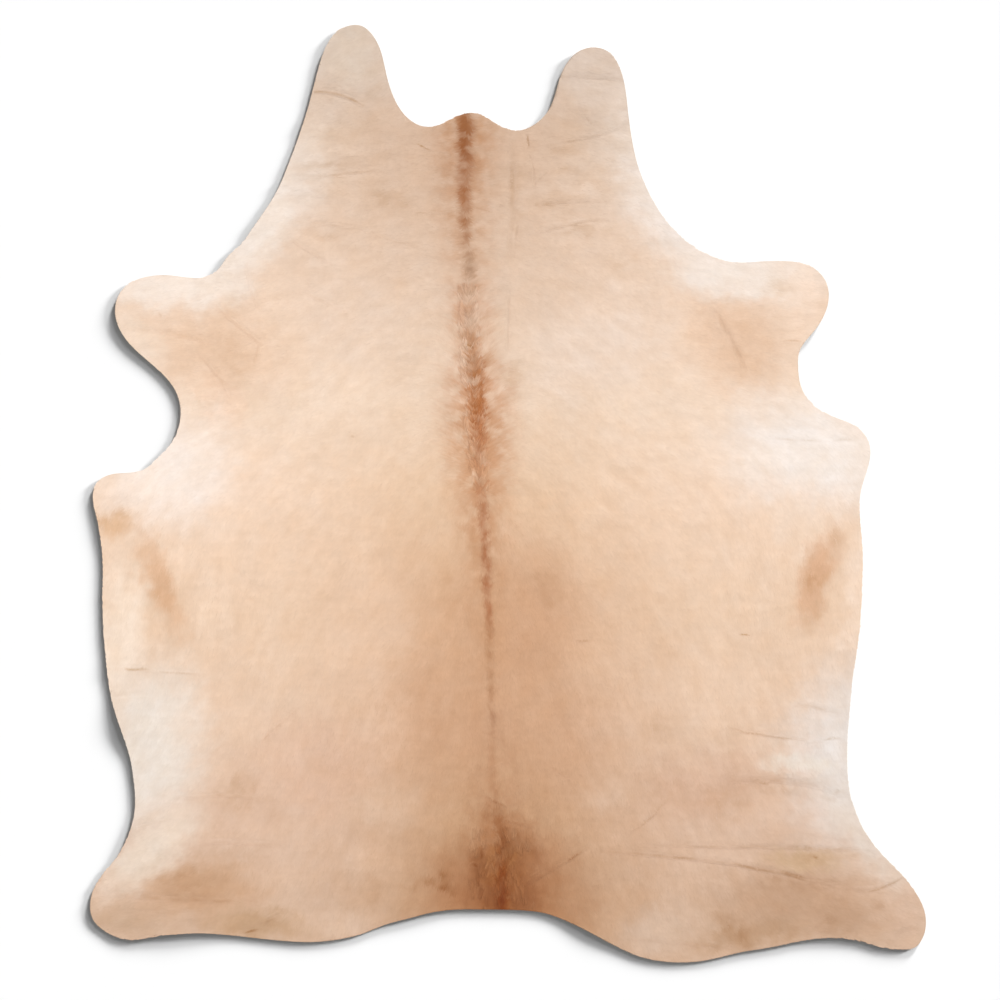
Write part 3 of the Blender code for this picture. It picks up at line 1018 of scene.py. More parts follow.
def wisp(y, side, direction, length, spread, rng):
    """Roots, tips and tones of the blades of one wisp."""
    rooted_y = y + rng.uniform(-WISP_UNEVEN, WISP_UNEVEN)
    out = side * rng.uniform(0, spread) * MM
    middle = np.array((back_line_x(rooted_y) + out, rooted_y))
    angle = radians(direction + rng.normal(0, STRAY))
    reach = length * MM * rng.uniform(0.75, 1.2)
    tip = middle + reach * np.array((side * cos(angle), sin(angle)))
    around = rng.normal(0, WISP_ROOTS, (BLADES_IN_A_WISP, 2))
    wisp_tone = MIDDLE_TONE + rng.normal(0, WISP_TONES)
    tones = wisp_tone + rng.normal(0, TONES_IN_A_WISP, BLADES_IN_A_WISP)
    return middle + around, tip + DRAWN_IN * around, tones


def wisps_piece(name, seed):
    """All the longer wisps, as one mesh."""
    rng = np.random.default_rng(seed)
    all_wisps = [
        wisp(y, side, direction, length, spread, rng)
        for first, last, step, direction, length, spread in WISPS.values()
        for y in np.arange(first, last, -step) * MM
        for side in (-1, 1)
    ]
    roots, tips, tones = (np.concatenate(part) for part in zip(*all_wisps))
    kept = read_map(inside_map, tips) > 0
    roots, tips, tones = roots[kept], tips[kept], np.clip(tones[kept], 0, 1)
    tones -= smudged(roots)
    count = len(roots)
    arrows = tips - roots
    lengths = np.hypot(*arrows.T)
    arrows /= lengths[:, None]
    widths = rng.uniform(*WISP_WIDTHS, count)
    depths = rng.uniform(0, 1, count)
    bends = rng.normal(0, WISP_TURN, count)
    rolls = rng.normal(0, WISP_TURN, count)
    return blade_mesh(name, roots, arrows, lengths, widths, depths, tones, bends, rolls, WISP_LIFT)


wisps = wisps_piece("back_wisps", seed=31)
print("wisps:", len(wisps.data.polygons) // 2, "blades")

# %% [markdown]
# Hair in the folds
#
# Where the skin was folded the hair parts, and the parting shows as a fine dark line: there the
# eye looks down between the hairs into shade. That shade is painted: short fine hairs lie over
# each crease, in the lie of the coat around them, painted darker the nearer they are to its
# middle, and fading out towards its two ends. Old scratches and small scabs leave short marks as
# well, some darker and some paler, which are laid the same way. So are a painted shade in the
# notch of a fold and painted highlights along the rims of some folds.

# %% Parted hair
# Columns: start, middle and end as x, y in mm, half width in mm, and the share of light by which
# the hair over it is painted darker. A pale mark or a painted highlight has a share below 0.
MARKS = {
    "neck, grey band": ((9, 790), (10, 657), (6, 525), 8, 0.12),
    "neck, dash": ((-204, 784), (-190, 775), (-173, 766), 2.5, 0.27),
    "neck, faint, left": ((-217, 628), (-150, 630), (-83, 637), 3, 0.16),
    "neck, faint, right": ((-74, 641), (-27, 630), (37, 644), 3, 0.16),
    "back line, grey blotch": ((8, 543), (-1, 530), (-10, 516), 8, 0.16),
    "back line, root mark": ((-98, 335), (-86, 329), (-72, 322), 6, 0.34),
    "left shoulder spot": ((-351, 131), (-347, 129), (-342, 127), 5, 0.22),
    "left fore leg scab": ((-782, 406), (-778, 400), (-776, 392), 5, 0.16),
    "left elbow spot": ((-675, 204), (-668, 200), (-655, 200), 9, 0.08),
    "right fore leg line": ((608, 339), (631, 343), (655, 341), 3, 0.16),
    "right ribs, dash": ((516, -312), (528, -313), (545, -315), 2.5, 0.30),
    "right loin, dash": ((150, -327), (170, -328), (190, -327), 3, 0.16),
    "right flank, red spot": ((566, -463), (571, -466), (575, -470), 9, 0.11),
    "back, dark streak": ((-48, -463), (-39, -486), (-30, -512), 4, 0.19),
    "scratch over the tail, pale": ((-45, -613), (-23, -606), (4, -595), 2.5, -0.14),
    "scratch over the tail, dark": ((-30, -617), (-30, -633), (-30, -651), 3, 0.19),
    "spot over the tail": ((19, -651), (22, -653), (24, -658), 3, 0.24),
    "tail, left side": ((-30, -709), (-30, -727), (-30, -749), 3, 0.27),
    "tail, upper dark": ((-26, -759), (-17, -765), (-10, -772), 9, 0.22),
    "tail, right dark": ((18, -747), (25, -765), (28, -785), 6, 0.19),
    "tail, middle dark": ((-26, -810), (-20, -835), (-16, -860), 8, 0.22),
    "tail, left tuft": ((-61, -788), (-60, -802), (-60, -816), 6, 0.34),
    "tail, left tuft, lower": ((-88, -834), (-78, -829), (-66, -834), 6, 0.30),
    "tail, pale hairs, left": ((-39, -792), (-36, -840), (-26, -905), 2.5, -0.16),
    "tail, pale hairs, right": ((4, -792), (8, -815), (24, -822), 5, -0.16),
    "tail, pale hairs, low": ((16, -850), (20, -890), (24, -915), 2.5, -0.14),
    # These five are painted light on folds: painted highlights along the rims, and painted shade in the
    # notch of one.
    "tail fold, painted highlight on its rim": ((26, -866), (57, -847), (91, -827), 4, -0.28),
    "left thigh, fold, painted highlight on its rim": ((-585, -968), (-548, -950), (-510, -930), 4, -0.14),
    "left thigh, fold, painted shade in its notch": ((-598, -981), (-570, -978), (-546, -974), 5, 0.41),
    "left haunch, painted highlight beside the fold": ((-700, -774), (-608, -773), (-507, -779), 3, -0.07),
    "right hock, painted highlight on the fold's rim": ((700, -862), (775, -878), (841, -871), 4, -0.08),
    "right haunch, dark spot": ((682, -809), (687, -811), (693, -814), 4, 0.22),
    "right haunch, brown core": ((560, -640), (570, -643), (584, -645), 7, 0.16),
}

# Their size, how much higher than the coat they lie, and the height of their roots over the skin.
PARTED_LENGTH, PARTED_WIDTH = 5 * MM, 1.5 * MM
PARTED_LIFT, PARTED_ROOT = 0.125 * MM, 0.225 * MM

# How deep in the coat the lowest lie, how much they turn and lean, in radians, and how far in
# from the cut edge they stay.
PARTED_DEPTH, PARTED_TURN, PARTED_ROLL = 0.4, 0.15, 0.03
PARTED_MARGIN = 1.5 * MM

# Hairs for each square millimetre, and the fewest on one line.
PARTED_HAIRS, FEWEST = 0.56, 6

# The share of a crease's half width that its line of painted shade takes, and the share of its
# depth that the hair bridges.
LINE_SHARE, BRIDGED = 0.5, 0.6

# How far and how often a line swings aside, and how its strength comes, goes and fades.
PARTED_SWING, SWING_PITCH = 2.4 * MM, 28 * MM
UNEVEN_MEAN, UNEVEN_RANGE, UNEVEN_PITCH = 0.65, 1.1, 24 * MM
ENDS_FADE = 0.6


def hairs_along(line, half_width, loss, rng):
    """Middles and tones of the short hairs along one line; the tones carry its painted shade, painted
    highlight or the colour of its mark.
    """
    runs = np.hypot(*(line[1:] - line[:-1]).T)
    travelled = np.concatenate(([0], np.cumsum(runs))) / runs.sum()
    count = int(PARTED_HAIRS * 2 * half_width * runs.sum() / MM) + FEWEST
    at = rng.uniform(0, 1, count)
    middle = np.stack([np.interp(at, travelled, line[:, axis]) for axis in (0, 1)], axis=1)
    way = (line[-1] - line[0]) / np.hypot(*(line[-1] - line[0]))
    off = rng.uniform(-1, 1, count)
    swing = PARTED_SWING * value_noise(middle, SWING_PITCH, seed=14)
    aside = (off * half_width * MM + swing)[:, None] * np.array((-way[1], way[0]))
    fade = soft(np.abs(off)) * np.sin(np.pi * np.clip(at, 0.04, 0.96)) ** ENDS_FADE
    uneven = UNEVEN_MEAN + UNEVEN_RANGE * value_noise(middle, UNEVEN_PITCH, seed=15)
    fade *= np.clip(uneven, 0.1, 1.4)
    return middle + aside, MIDDLE_TONE - loss * fade / (LIGHT_TONE[1] - DARK_TONE[1])


def parted_piece(name, seed):
    """The short hairs along every crease and mark, as one mesh, with the painted shade of the creases in
    their tones.
    """
    rng = np.random.default_rng(seed)
    lines = [(crease_lines[fold], LINE_SHARE * row[3], row[5]) for fold, row in CREASES.items()]
    lines += [(through_three(*row[:3]), row[3], row[4]) for row in MARKS.values()]
    hairs = [hairs_along(line, half_width, loss, rng) for line, half_width, loss in lines]
    middles, tones = (np.concatenate(part) for part in zip(*hairs))
    arrows = turned(lie_of_hair(middles), rng.normal(0, PARTED_TURN, len(middles)))
    roots = middles - PARTED_LENGTH / 2 * arrows
    kept = read_map(inside_map, roots + PARTED_LENGTH * arrows) > PARTED_MARGIN
    kept &= read_map(inside_map, roots) > PARTED_MARGIN
    roots, arrows, tones = roots[kept], arrows[kept], tones[kept] - smudged(roots[kept])
    count = len(roots)
    lift = PARTED_LIFT + BRIDGED * along_creases(roots + PARTED_LENGTH / 2 * arrows)
    lengths = PARTED_LENGTH * rng.uniform(0.8, 1.2, count)
    widths = PARTED_WIDTH * rng.uniform(0.7, 1.3, count)
    depths = rng.uniform(PARTED_DEPTH, 1, count)
    bends = rng.normal(0, PARTED_TURN, count)
    rolls = rng.normal(0, PARTED_ROLL, count)
    return blade_mesh(name, roots, arrows, lengths, widths, depths, tones, bends, rolls,
                      lift[:, None], PARTED_ROOT)


parted = parted_piece("parted_hair", seed=32)
print("parted hair:", len(parted.data.polygons) // 2, "blades")

# %% [markdown]
# Colouring of the coat
#
# The coat is a dilute red: cream at the belly edges and in the bays of the legs, sand on the
# ribs, tan towards the rump, with a brown line down the back. No two places have quite the same
# shade, but there are no hard borders. So the colour is built up as a painter would: two washes
# that change along the back and along the sides, soft-edged oval patches over them, then the
# back line, and last a mottle and the tone of each hair. All lengths in it are in millimetres.
# It is a group, because the skin under the hair has the same colour as the hair.

# %% Where a colour is looked up
HIDE_FROM, HIDE_TO = -1050, 1050

# Noise moves the place that is looked up, so that no border is a plain oval or line. Columns:
# size of its humps and how far it moves the place, in mm.
WARPS = {"broad": (150, 26), "narrow": (28, 15)}

paint = bpy.data.node_groups.new("coat colouring", "ShaderNodeTree")
paint.interface.new_socket("Place", in_out="INPUT", socket_type="NodeSocketVector")
paint.interface.new_socket("Tone", in_out="INPUT", socket_type="NodeSocketFloat")
paint.interface.new_socket("Colour", in_out="OUTPUT", socket_type="NodeSocketColor")
given = paint.nodes.new("NodeGroupInput")
flat = add_node(paint, "VectorMath", {0: given.outputs["Place"], 1: (1 / MM, 1 / MM, 0)},
                operation="MULTIPLY").outputs[0]

place = flat
for blotch, amount in WARPS.values():
    noise = add_node(paint, "TexNoise", {"Vector": flat, "Scale": 1 / blotch}, normalize=False)
    offset = add_node(paint, "VectorMath", {0: noise.outputs["Color"], 1: (amount, amount, 0)},
                      operation="MULTIPLY")
    place = add_node(paint, "VectorMath", {0: place, 1: offset.outputs[0]}).outputs[0]
split = add_node(paint, "SeparateXYZ", {0: place})
plain = add_node(paint, "SeparateXYZ", {0: flat})
along, straight_along = (
    add_node(paint, "MapRange", {0: y, 1: HIDE_FROM, 2: HIDE_TO}).outputs[0]
    for y in (split.outputs["Y"], plain.outputs["Y"])
)
print("places to look up:", len(paint.nodes), "nodes")

# %% [markdown]
# Where the back line runs
#
# The back line isn't quite straight, and it swells and fades on its way from the nape to the
# tail. Ramps along the hide say at each height where it runs, how wide it is and how strong. The
# washes need it too, because their shade depends on how far from it a place lies.

# %% Back line
# Columns: y and x in mm, then half width in mm, strength and shade, first of the dark core and
# then of the softer halo round it, and last how ragged both are, in mm.
BACK_STRIPE = {
    "nape edge": (858, -95, 24, 0.92, "9b6034", 104, 0.64, "bf8b60", 2),
    "nape": (769, -96, 25, 0.95, "95572a", 104, 0.68, "bd8860", 2),
    "neck": (657, -98, 18, 0.74, "a4683e", 100, 0.58, "c69672", 3),
    "neck, thinning": (579, -95, 16, 0.56, "a9734c", 90, 0.58, "cb9e7c", 5),
    "neck, grey end": (512, -89, 21, 0.54, "a98468", 84, 0.52, "cda180", 6),
    "gap over the withers": (423, -85, 18, 0.12, "b98a68", 78, 0.62, "cf9c78", 12),
    "withers": (333, -80, 20, 0.50, "b8845e", 80, 0.60, "cf9e7a", 16),
    "whorl, upper": (240, -68, 26, 0.88, "b4713f", 118, 0.75, "d09b76", 13),
    "whorl, lower": (155, -66, 26, 0.94, "b06a3a", 118, 0.90, "cc946b", 13),
    "whorl, foot": (88, -64, 20, 0.60, "b8764c", 115, 0.90, "cc956c", 15),
    "gap behind the whorl": (43, -63, 16, 0.20, "bd7f56", 110, 0.85, "ce9a73", 12),
    "back": (-35, -56, 17, 0.84, "b0734c", 100, 0.80, "cd9a74", 7),
    "back, lower": (-150, -49, 17, 0.84, "b0734c", 80, 0.55, "c8946c", 4),
    "back, foot": (-245, -45, 16, 0.76, "b2754e", 68, 0.42, "c9976e", 4),
    "loin": (-325, -41, 13, 0.44, "b07c52", 60, 0.34, "c99870", 4),
    "loin, lower": (-492, -36, 14, 0.50, "b28260", 80, 0.36, "c39270", 4),
    "croup": (-620, -33, 18, 0.22, "b07c56", 108, 0.38, "b98762", 6),
    "above the tail": (-749, -16, 20, 0.52, "9b6034", 115, 0.62, "ac7247", 14),
    "tail": (-816, -14, 22, 0.78, "8c4815", 95, 0.50, "a46834", 12),
    "tail, darkest": (-894, -14, 27, 0.84, "843e0c", 70, 0.45, "965724", 10),
}
MOST_RAGGED = 20
WIDEST = 150
FURTHEST_LEFT = -100


def stops_along_hide(rows):
    """The stops of a ramp along the hide, from rows of (y in mm, colour)."""
    return [((y - HIDE_FROM) / (HIDE_TO - HIDE_FROM), colour) for y, colour in rows]


# A ramp's red, green and blue carry three numbers about the stripe as well as they carry a
# colour: for the core its place across, half width and strength, and for the halo its half
# width, strength and raggedness.
rows = BACK_STRIPE.values()
core = add_node(paint, "ValToRGB", {0: straight_along}, stops=stops_along_hide([
    (y, (x / FURTHEST_LEFT, half / WIDEST, strong, 1)) for y, x, half, strong, *_ in rows]))
halo = add_node(paint, "ValToRGB", {0: straight_along}, stops=stops_along_hide([
    (y, (half / WIDEST, strong, ragged / MOST_RAGGED, 1))
    for y, *_, half, strong, _, ragged in rows]))
core = add_node(paint, "SeparateColor", {0: core.outputs[0]})
halo = add_node(paint, "SeparateColor", {0: halo.outputs[0]})
line_x = add_node(paint, "Math", {0: core.outputs[0], 1: FURTHEST_LEFT}, operation="MULTIPLY")
beside_line = add_node(paint, "Math", {0: plain.outputs["X"], 1: line_x.outputs[0]},
                       operation="SUBTRACT").outputs[0]
print("back line:", len(BACK_STRIPE), "rows")

# %% [markdown]
# Washes and patches
#
# The broad shades of the coat are two washes, one beside the back line and one out on the
# sides. Whatever departs from them, such as the cream of the bays or the tan of the legs, is a
# soft oval. An image painted on would be quicker to make, but it would blur up close.

# %% Washes
# Columns: y in mm, shade beside the back line, shade out on the sides.
WASHES = {
    "neck flaps": (950, "d8bfab", "dcc5b3"),
    "nape": (800, "d7b69c", "e2cbb6"),
    "neck": (620, "debfa6", "ebd0ba"),
    "withers": (420, "e5c8b0", "f1d4bc"),
    "shoulders": (200, "eed2b9", "f4dac3"),
    "back": (10, "e7c4a4", "f4d6bd"),
    "ribs": (-250, "d9ae8b", "ebcbaf"),
    "loin": (-520, "d2a684", "e8c8ae"),
    "croup": (-720, "c99e7a", "ddbba2"),
    "tail edge": (-950, "c0946f", "d6b59b"),
}
WASH_NEAR, WASH_FAR = 40, 520

out_to_side = add_node(paint, "Math", {0: beside_line}, operation="ABSOLUTE").outputs[0]
sideways = add_node(paint, "MapRange", {0: out_to_side, 1: WASH_NEAR, 2: WASH_FAR},
                    interpolation_type="SMOOTHSTEP").outputs[0]
washes = WASHES.values()
near_wash = add_node(paint, "ValToRGB", {0: along}, stops=stops_along_hide([
    (y, linear(near)) for y, near, _ in washes]))
far_wash = add_node(paint, "ValToRGB", {0: along}, stops=stops_along_hide([
    (y, linear(far)) for y, _, far in washes]))
colour = add_node(paint, "Mix", {0: sideways, 6: near_wash.outputs[0], 7: far_wash.outputs[0]},
                  data_type="RGBA").outputs[2]
print("washes:", len(WASHES), "shades along the hide, two across it")

# %% Patches
# Columns: x, y, half length, half width in mm, turn in degrees, strength, shade.
PATCHES = {
    "left neck edge, cream": (-560, 610, 310, 110, 56, 0.85, "f5e6d9"),
    "left neck, pale": (-440, 700, 120, 60, 70, 0.60, "e8d4c4"),
    "right neck edge, cream": (370, 630, 330, 125, -56, 0.85, "f3e5da"),
    "right shoulder edge, cream": (540, 485, 270, 80, -3, 0.75, "f8ebe0"),
    "right fore toe, sand": (655, 440, 90, 110, 0, 0.60, "f8dcc5"),
    "left shoulder notch, cream": (-755, 470, 245, 70, 0, 0.75, "f9ebdf"),
    "left fore leg, warm sand": (-640, 325, 240, 135, -12, 0.75, "ebc7a9"),
    "left fore leg edge, pale": (-830, 350, 130, 60, -50, 0.60, "f5dfcb"),
    "left elbow, pink sand": (-640, 215, 110, 60, -60, 0.60, "f2cfb4"),
    "right fore leg, warm sand": (500, 325, 195, 150, -52, 0.72, "e8c2a3"),
    "left bay, cream": (-755, 55, 215, 170, 30, 0.90, "fcece0"),
    "right bay, cream": (700, 95, 320, 190, -8, 0.95, "f8ebe1"),
    "left flank corner, ochre": (-885, -60, 68, 42, -14, 0.75, "dfb38a"),
    "left flank streak, tan": (-775, -195, 175, 52, -68, 0.75, "e3b691"),
    "right flank streak, tan": (688, -190, 150, 62, 78, 0.80, "dfb08c"),
    "right flank edge, sand": (786, -215, 200, 50, 86, 0.80, "f6dcc6"),
    "right ribs edge, sand": (640, -70, 90, 70, 0, 0.45, "f8e0cb"),
    "left flank edge, cream": (-870, -310, 240, 85, 84, 0.80, "f9e4d0"),
    "left belly edge, cool white": (-800, -560, 290, 170, 84, 0.90, "eee2d6"),
    "right belly edge, cool white": (755, -580, 300, 190, 88, 0.95, "e8ddd5"),
    "left hind leg, tan": (-670, -885, 215, 92, 6, 0.78, "cba07d"),
    "left hind leg edge, pale": (-800, -800, 200, 80, 42, 0.90, "ecd9c7"),
    "left hind leg, lower tan": (-560, -965, 150, 55, -5, 0.80, "c19a76"),
    "left hind toe, pink": (-860, -960, 150, 60, -5, 0.60, "c9a688"),
    "right hind leg, tan": (650, -915, 310, 110, -8, 0.80, "c1997a"),
    "right hind leg, upper ochre": (660, -815, 130, 40, -6, 0.60, "cba77f"),
    "right hind leg edge, pale": (810, -760, 200, 90, -52, 0.75, "e6d6c8"),
    "right hind toe, pink": (880, -930, 90, 110, 30, 0.55, "d9b79e"),
    "right hind leg, lower tan": (565, -990, 120, 50, 5, 0.70, "bb926f"),
    "right thigh edge, pink": (330, -975, 130, 90, 20, 0.65, "dabea8"),
    "right thigh, tan streak": (300, -880, 120, 30, -30, 0.20, "c99f7c"),
    "rump, chestnut": (-10, -915, 255, 235, 0, 0.78, "a96e43"),
    "root of the tail, brown": (-5, -880, 110, 200, 0, 0.55, "86491e"),
    "loin, tan": (20, -270, 205, 260, 0, 0.45, "cc9a76"),
    "left of the loin, tan": (-170, -500, 150, 240, 0, 0.28, "cfa07d"),
    "right of the loin, tan": (120, -560, 150, 230, 0, 0.32, "c99a77"),
    "left haunch, pink tan": (-440, -600, 220, 160, 0, 0.45, "dbb196"),
    "left haunch, pale spot": (-270, -700, 110, 80, 0, 0.40, "e3c3a9"),
    "left ribs, pale sand": (-300, -300, 150, 190, 0, 0.40, "eccbb0"),
    "right of the rump, pale spot": (215, -675, 70, 50, 0, 0.40, "dfbfa6"),
    "left thigh edge, pink": (-370, -950, 150, 60, 0, 0.60, "dfc0a8"),
    "right haunch, pink tan": (440, -640, 210, 110, 10, 0.60, "d6ae93"),
    "left shoulder, ash": (-345, 400, 200, 120, -20, 0.45, "ecd3bf"),
    "right shoulder, ash": (185, 335, 245, 155, 20, 0.60, "f0dac9"),
    "right neck flap, ash": (180, 940, 100, 115, 0, 0.55, "e2cebe"),
    "right neck flap edge, pale": (250, 880, 60, 130, 0, 0.50, "e7d5c7"),
    "left neck flap, ash": (-345, 990, 110, 135, 0, 0.60, "dccab8"),
    "above the right haunch, cream": (650, -598, 110, 30, 0, 0.60, "eee2d4"),
}
PATCH_CORE = 0.2

for name, (x, y, half_length, half_width, turn, strength, shade) in PATCHES.items():
    oval = add_node(paint, "Mapping", {
        "Vector": place, "Location": (x, y, 0), "Rotation": (0, 0, radians(turn)),
        "Scale": (half_length, half_width, 1)}, vector_type="TEXTURE", label=name)
    reach = add_node(paint, "VectorMath", {0: oval.outputs[0]}, operation="LENGTH").outputs["Value"]
    share = add_node(paint, "MapRange", {0: reach, 1: 1.0, 2: PATCH_CORE, 4: strength},
                     interpolation_type="SMOOTHSTEP").outputs[0]
    colour = add_node(paint, "Mix", {0: share, 6: colour, 7: linear(shade)},
                      data_type="RGBA").outputs[2]
print("patches:", len(PATCHES))

# %% [markdown]
# The back stripe
#
# The darker hair of the back line stands in tufts, so its border is ragged. It is painted twice:
# first as a broad soft halo, and then as a narrow dark core.

# %% Back stripe
# How far the stripe meanders and how often, how its tufts slant, how long and wide they are, and
# how often it is faint or strong and by how much. Lengths are in mm.
MEANDER, MEANDER_PITCH = 5, 40
TUFT_SLANT, TUFT_LENGTH, TUFT_WIDTH = 0.6, 40, 7
PATCHY_PITCH, FAINTEST, STRONGEST = 30, 0.55, 1.45

# The stripe is ragged by a noise that is drawn out along its tufts, up and away from it.
risen = add_node(paint, "Math", {0: out_to_side, 1: -TUFT_SLANT, 2: plain.outputs["Y"]},
                 operation="MULTIPLY_ADD")
tufts = add_node(paint, "CombineXYZ", {0: plain.outputs["X"], 1: risen.outputs[0]})
drawn_out = add_node(paint, "VectorMath", {
    0: tufts.outputs[0], 1: (1 / TUFT_LENGTH, 1 / TUFT_WIDTH, 0)}, operation="MULTIPLY")
feather = add_node(paint, "TexNoise", {"Vector": drawn_out.outputs[0], "Scale": 1.0},
                   normalize=False)
ragged = add_node(paint, "Math", {0: halo.outputs[2], 1: MOST_RAGGED}, operation="MULTIPLY")
meander = add_node(paint, "TexNoise", {"Vector": flat, "Scale": 1 / MEANDER_PITCH},
                   normalize=False)
off = beside_line
for noise, amount in ((feather, ragged.outputs[0]), (meander, MEANDER)):
    off = add_node(paint, "Math", {0: noise.outputs[0], 1: amount, 2: off},
                   operation="MULTIPLY_ADD").outputs[0]
off = add_node(paint, "Math", {0: off}, operation="ABSOLUTE").outputs[0]
patchy = add_node(paint, "TexNoise", {"Vector": flat, "Scale": 1 / PATCHY_PITCH},
                  normalize=False)
patchy = add_node(paint, "MapRange", {
    0: patchy.outputs[0], 1: -0.5, 2: 0.5, 3: FAINTEST, 4: STRONGEST})
halo_shades = [(y, linear(shade)) for y, *_, shade, _ in rows]
core_shades = [(y, linear(shade)) for y, _, _, _, shade, *_ in rows]
for half, strong, shades in (
    (halo.outputs[0], halo.outputs[1], halo_shades),
    (core.outputs[1], core.outputs[2], core_shades),
):
    wide = add_node(paint, "Math", {0: half, 1: WIDEST}, operation="MULTIPLY").outputs[0]
    strong = add_node(paint, "Math", {0: strong, 1: patchy.outputs[0]}, operation="MULTIPLY",
                      use_clamp=True).outputs[0]
    share = add_node(paint, "MapRange", {0: off, 1: wide, 2: 0.0, 4: strong},
                     interpolation_type="SMOOTHSTEP").outputs[0]
    shade = add_node(paint, "ValToRGB", {0: along}, stops=stops_along_hide(shades))
    colour = add_node(paint, "Mix", {0: share, 6: colour, 7: shade.outputs[0]},
                      data_type="RGBA").outputs[2]
print("back stripe: painted as halo and core")

# %% [markdown]
# Mottle
#
# Close up the coat is mottled, because its locks lie differently and grow in slightly different
# shades. Noise of several sizes is added for that, and at last the tone of the single hair.

# %% Mottle and tone
# Columns: size of the blotches across and along the hide in mm, and how much they add to or take
# from red, green and blue.
MOTTLE = {
    "clouds": (130, 130, (0.025, 0.03, 0.035)),
    "ochre against pink": (55, 55, (0.012, -0.006, -0.030)),
    "blotches": (24, 24, (0.030, 0.037, 0.046)),
    "locks": (9, 9, (0.030, 0.036, 0.042)),
    "strained bands": (110, 15, (0.024, 0.030, 0.038)),
}

for size_across, size_along, tint in MOTTLE.values():
    sized = add_node(paint, "VectorMath", {0: flat, 1: (1 / size_across, 1 / size_along, 0)},
                     operation="MULTIPLY").outputs[0]
    noise = add_node(paint, "TexNoise", {"Vector": sized, "Scale": 1.0}, normalize=False)
    change = add_node(paint, "VectorMath", {0: tint, "Scale": noise.outputs[0]}, operation="SCALE")
    change = add_node(paint, "VectorMath", {0: change.outputs[0], 1: (1, 1, 1)})
    colour = add_node(paint, "VectorMath", {0: colour, 1: change.outputs[0]},
                      operation="MULTIPLY").outputs[0]
# Darker hair is redder too, so a tone changes red least and blue most. The tone carries the
# painted shade of creases and folds as well, which turns redder in the same way.
span = [high - low for low, high in zip(DARK_TONE, LIGHT_TONE)]
tone = add_node(paint, "VectorMath", {0: given.outputs["Tone"], 1: span, 2: DARK_TONE},
                operation="MULTIPLY_ADD")
colour = add_node(paint, "VectorMath", {0: colour, 1: tone.outputs[0]}, operation="MULTIPLY")
result = paint.nodes.new("NodeGroupOutput")
paint.links.new(colour.outputs[0], result.inputs["Colour"])
print("coat colouring:", len(paint.nodes), "nodes")

# %% [markdown]
# Hair of the coat
#
# Cattle hair is keratin, a smooth horn-like fibre with an IOR of about 1.55 and a satin gloss.
# Seen from far off the gloss of single hairs blends to a soft sheen along the locks. A blade is
# a lock of hairs, drawn with five streaks across, as coarse as they need to be to show. Roots are
# a little darker than tips, and more so in the long wisps.

# %% Hair material
HAIR_IOR = 1.55
HAIR_SPECULAR = 0.2
DULLEST, GLOSSIEST = 0.62, 0.50
STREAK = 0.035
STREAK_RELIEF = 0.1 * MM


def new_material(name):
    """An empty material with its shader and output, and the shader linked."""
    material = bpy.data.materials.new(name)
    material.use_nodes = True
    tree = material.node_tree
    tree.nodes.clear()
    shader = add_node(tree, "BsdfPrincipled")
    add_node(tree, "OutputMaterial", {"Surface": shader.outputs[0]})
    return material, tree, shader


def hair_material(name, root_shade, tip_shade):
    """Cattle hair, satin, whose shade runs from its root to its tip."""
    material, tree, shader = new_material(name)
    root = add_node(tree, "Attribute", attribute_name="root")
    tone = add_node(tree, "Attribute", attribute_name="tone")
    along = add_node(tree, "Attribute", attribute_name="along")
    colour = tree.nodes.new("ShaderNodeGroup")
    colour.node_tree = paint
    tree.links.new(root.outputs["Vector"], colour.inputs["Place"])
    tree.links.new(tone.outputs["Fac"], colour.inputs["Tone"])
    strand = add_node(tree, "UVMap", uv_map="strand")
    streaks = add_node(tree, "TexNoise", {"Vector": strand.outputs[0], "Scale": 1.0}, normalize=False)
    fade = add_node(tree, "MapRange", {0: along.outputs["Fac"], 3: root_shade, 4: tip_shade})
    shade = add_node(tree, "Math", {0: streaks.outputs[0], 1: STREAK, 2: fade.outputs[0]},
                     operation="MULTIPLY_ADD")
    seen = add_node(tree, "VectorMath", {0: colour.outputs[0], "Scale": shade.outputs[0]},
                    operation="SCALE")
    tree.links.new(seen.outputs[0], shader.inputs["Base Color"])
    rough = add_node(tree, "MapRange", {0: streaks.outputs[0], 1: -0.5, 2: 0.5, 3: DULLEST, 4: GLOSSIEST})
    tree.links.new(rough.outputs[0], shader.inputs["Roughness"])
    bump = add_node(tree, "Bump", {
        "Strength": 0.10, "Distance": STREAK_RELIEF, "Height": streaks.outputs[0]})
    tree.links.new(bump.outputs[0], shader.inputs["Normal"])
    shader.inputs["IOR"].default_value = HAIR_IOR
    shader.inputs["Specular IOR Level"].default_value = HAIR_SPECULAR
    return material


short_hair = hair_material("cattle hair, short coat", root_shade=0.97, tip_shade=1.02)
for piece in (*coat, parted):
    piece.data.materials.append(short_hair)
long_hair = hair_material("cattle hair, long wisps", root_shade=0.86, tip_shade=1.16)
wisps.data.materials.append(long_hair)
hair_pieces = (*coat, wisps, parted)
print("pieces of hair:", [piece.name for piece in hair_pieces])

# %% [markdown]
# The two sides of the skin
#
# Chrome tanned leather has two faces. The grain side, under the hair, is smooth and pitted by
# follicles, and takes the colour of the coat, a little darker, because it lies in the hair's shade.
# The flesh side was shaved and then buffed on an abrasive drum, which leaves a pale suede with
# a short nap, cloudy where the nap lies differently, and matt from any side.

# %% Skin materials
GRAIN_SHADE = 0.97

# Follicles stand about 0.3 mm apart, and the nap of buffed leather is as fine. Both are drawn
# coarser, so that they show.
FOLLICLE, FOLLICLE_RELIEF = 1.2 * MM, 0.3 * MM
NAP, NAP_RELIEF = 0.9 * MM, 0.4 * MM
NAP_CLOUDS = 90 * MM
NAP_SHARE = 0.35


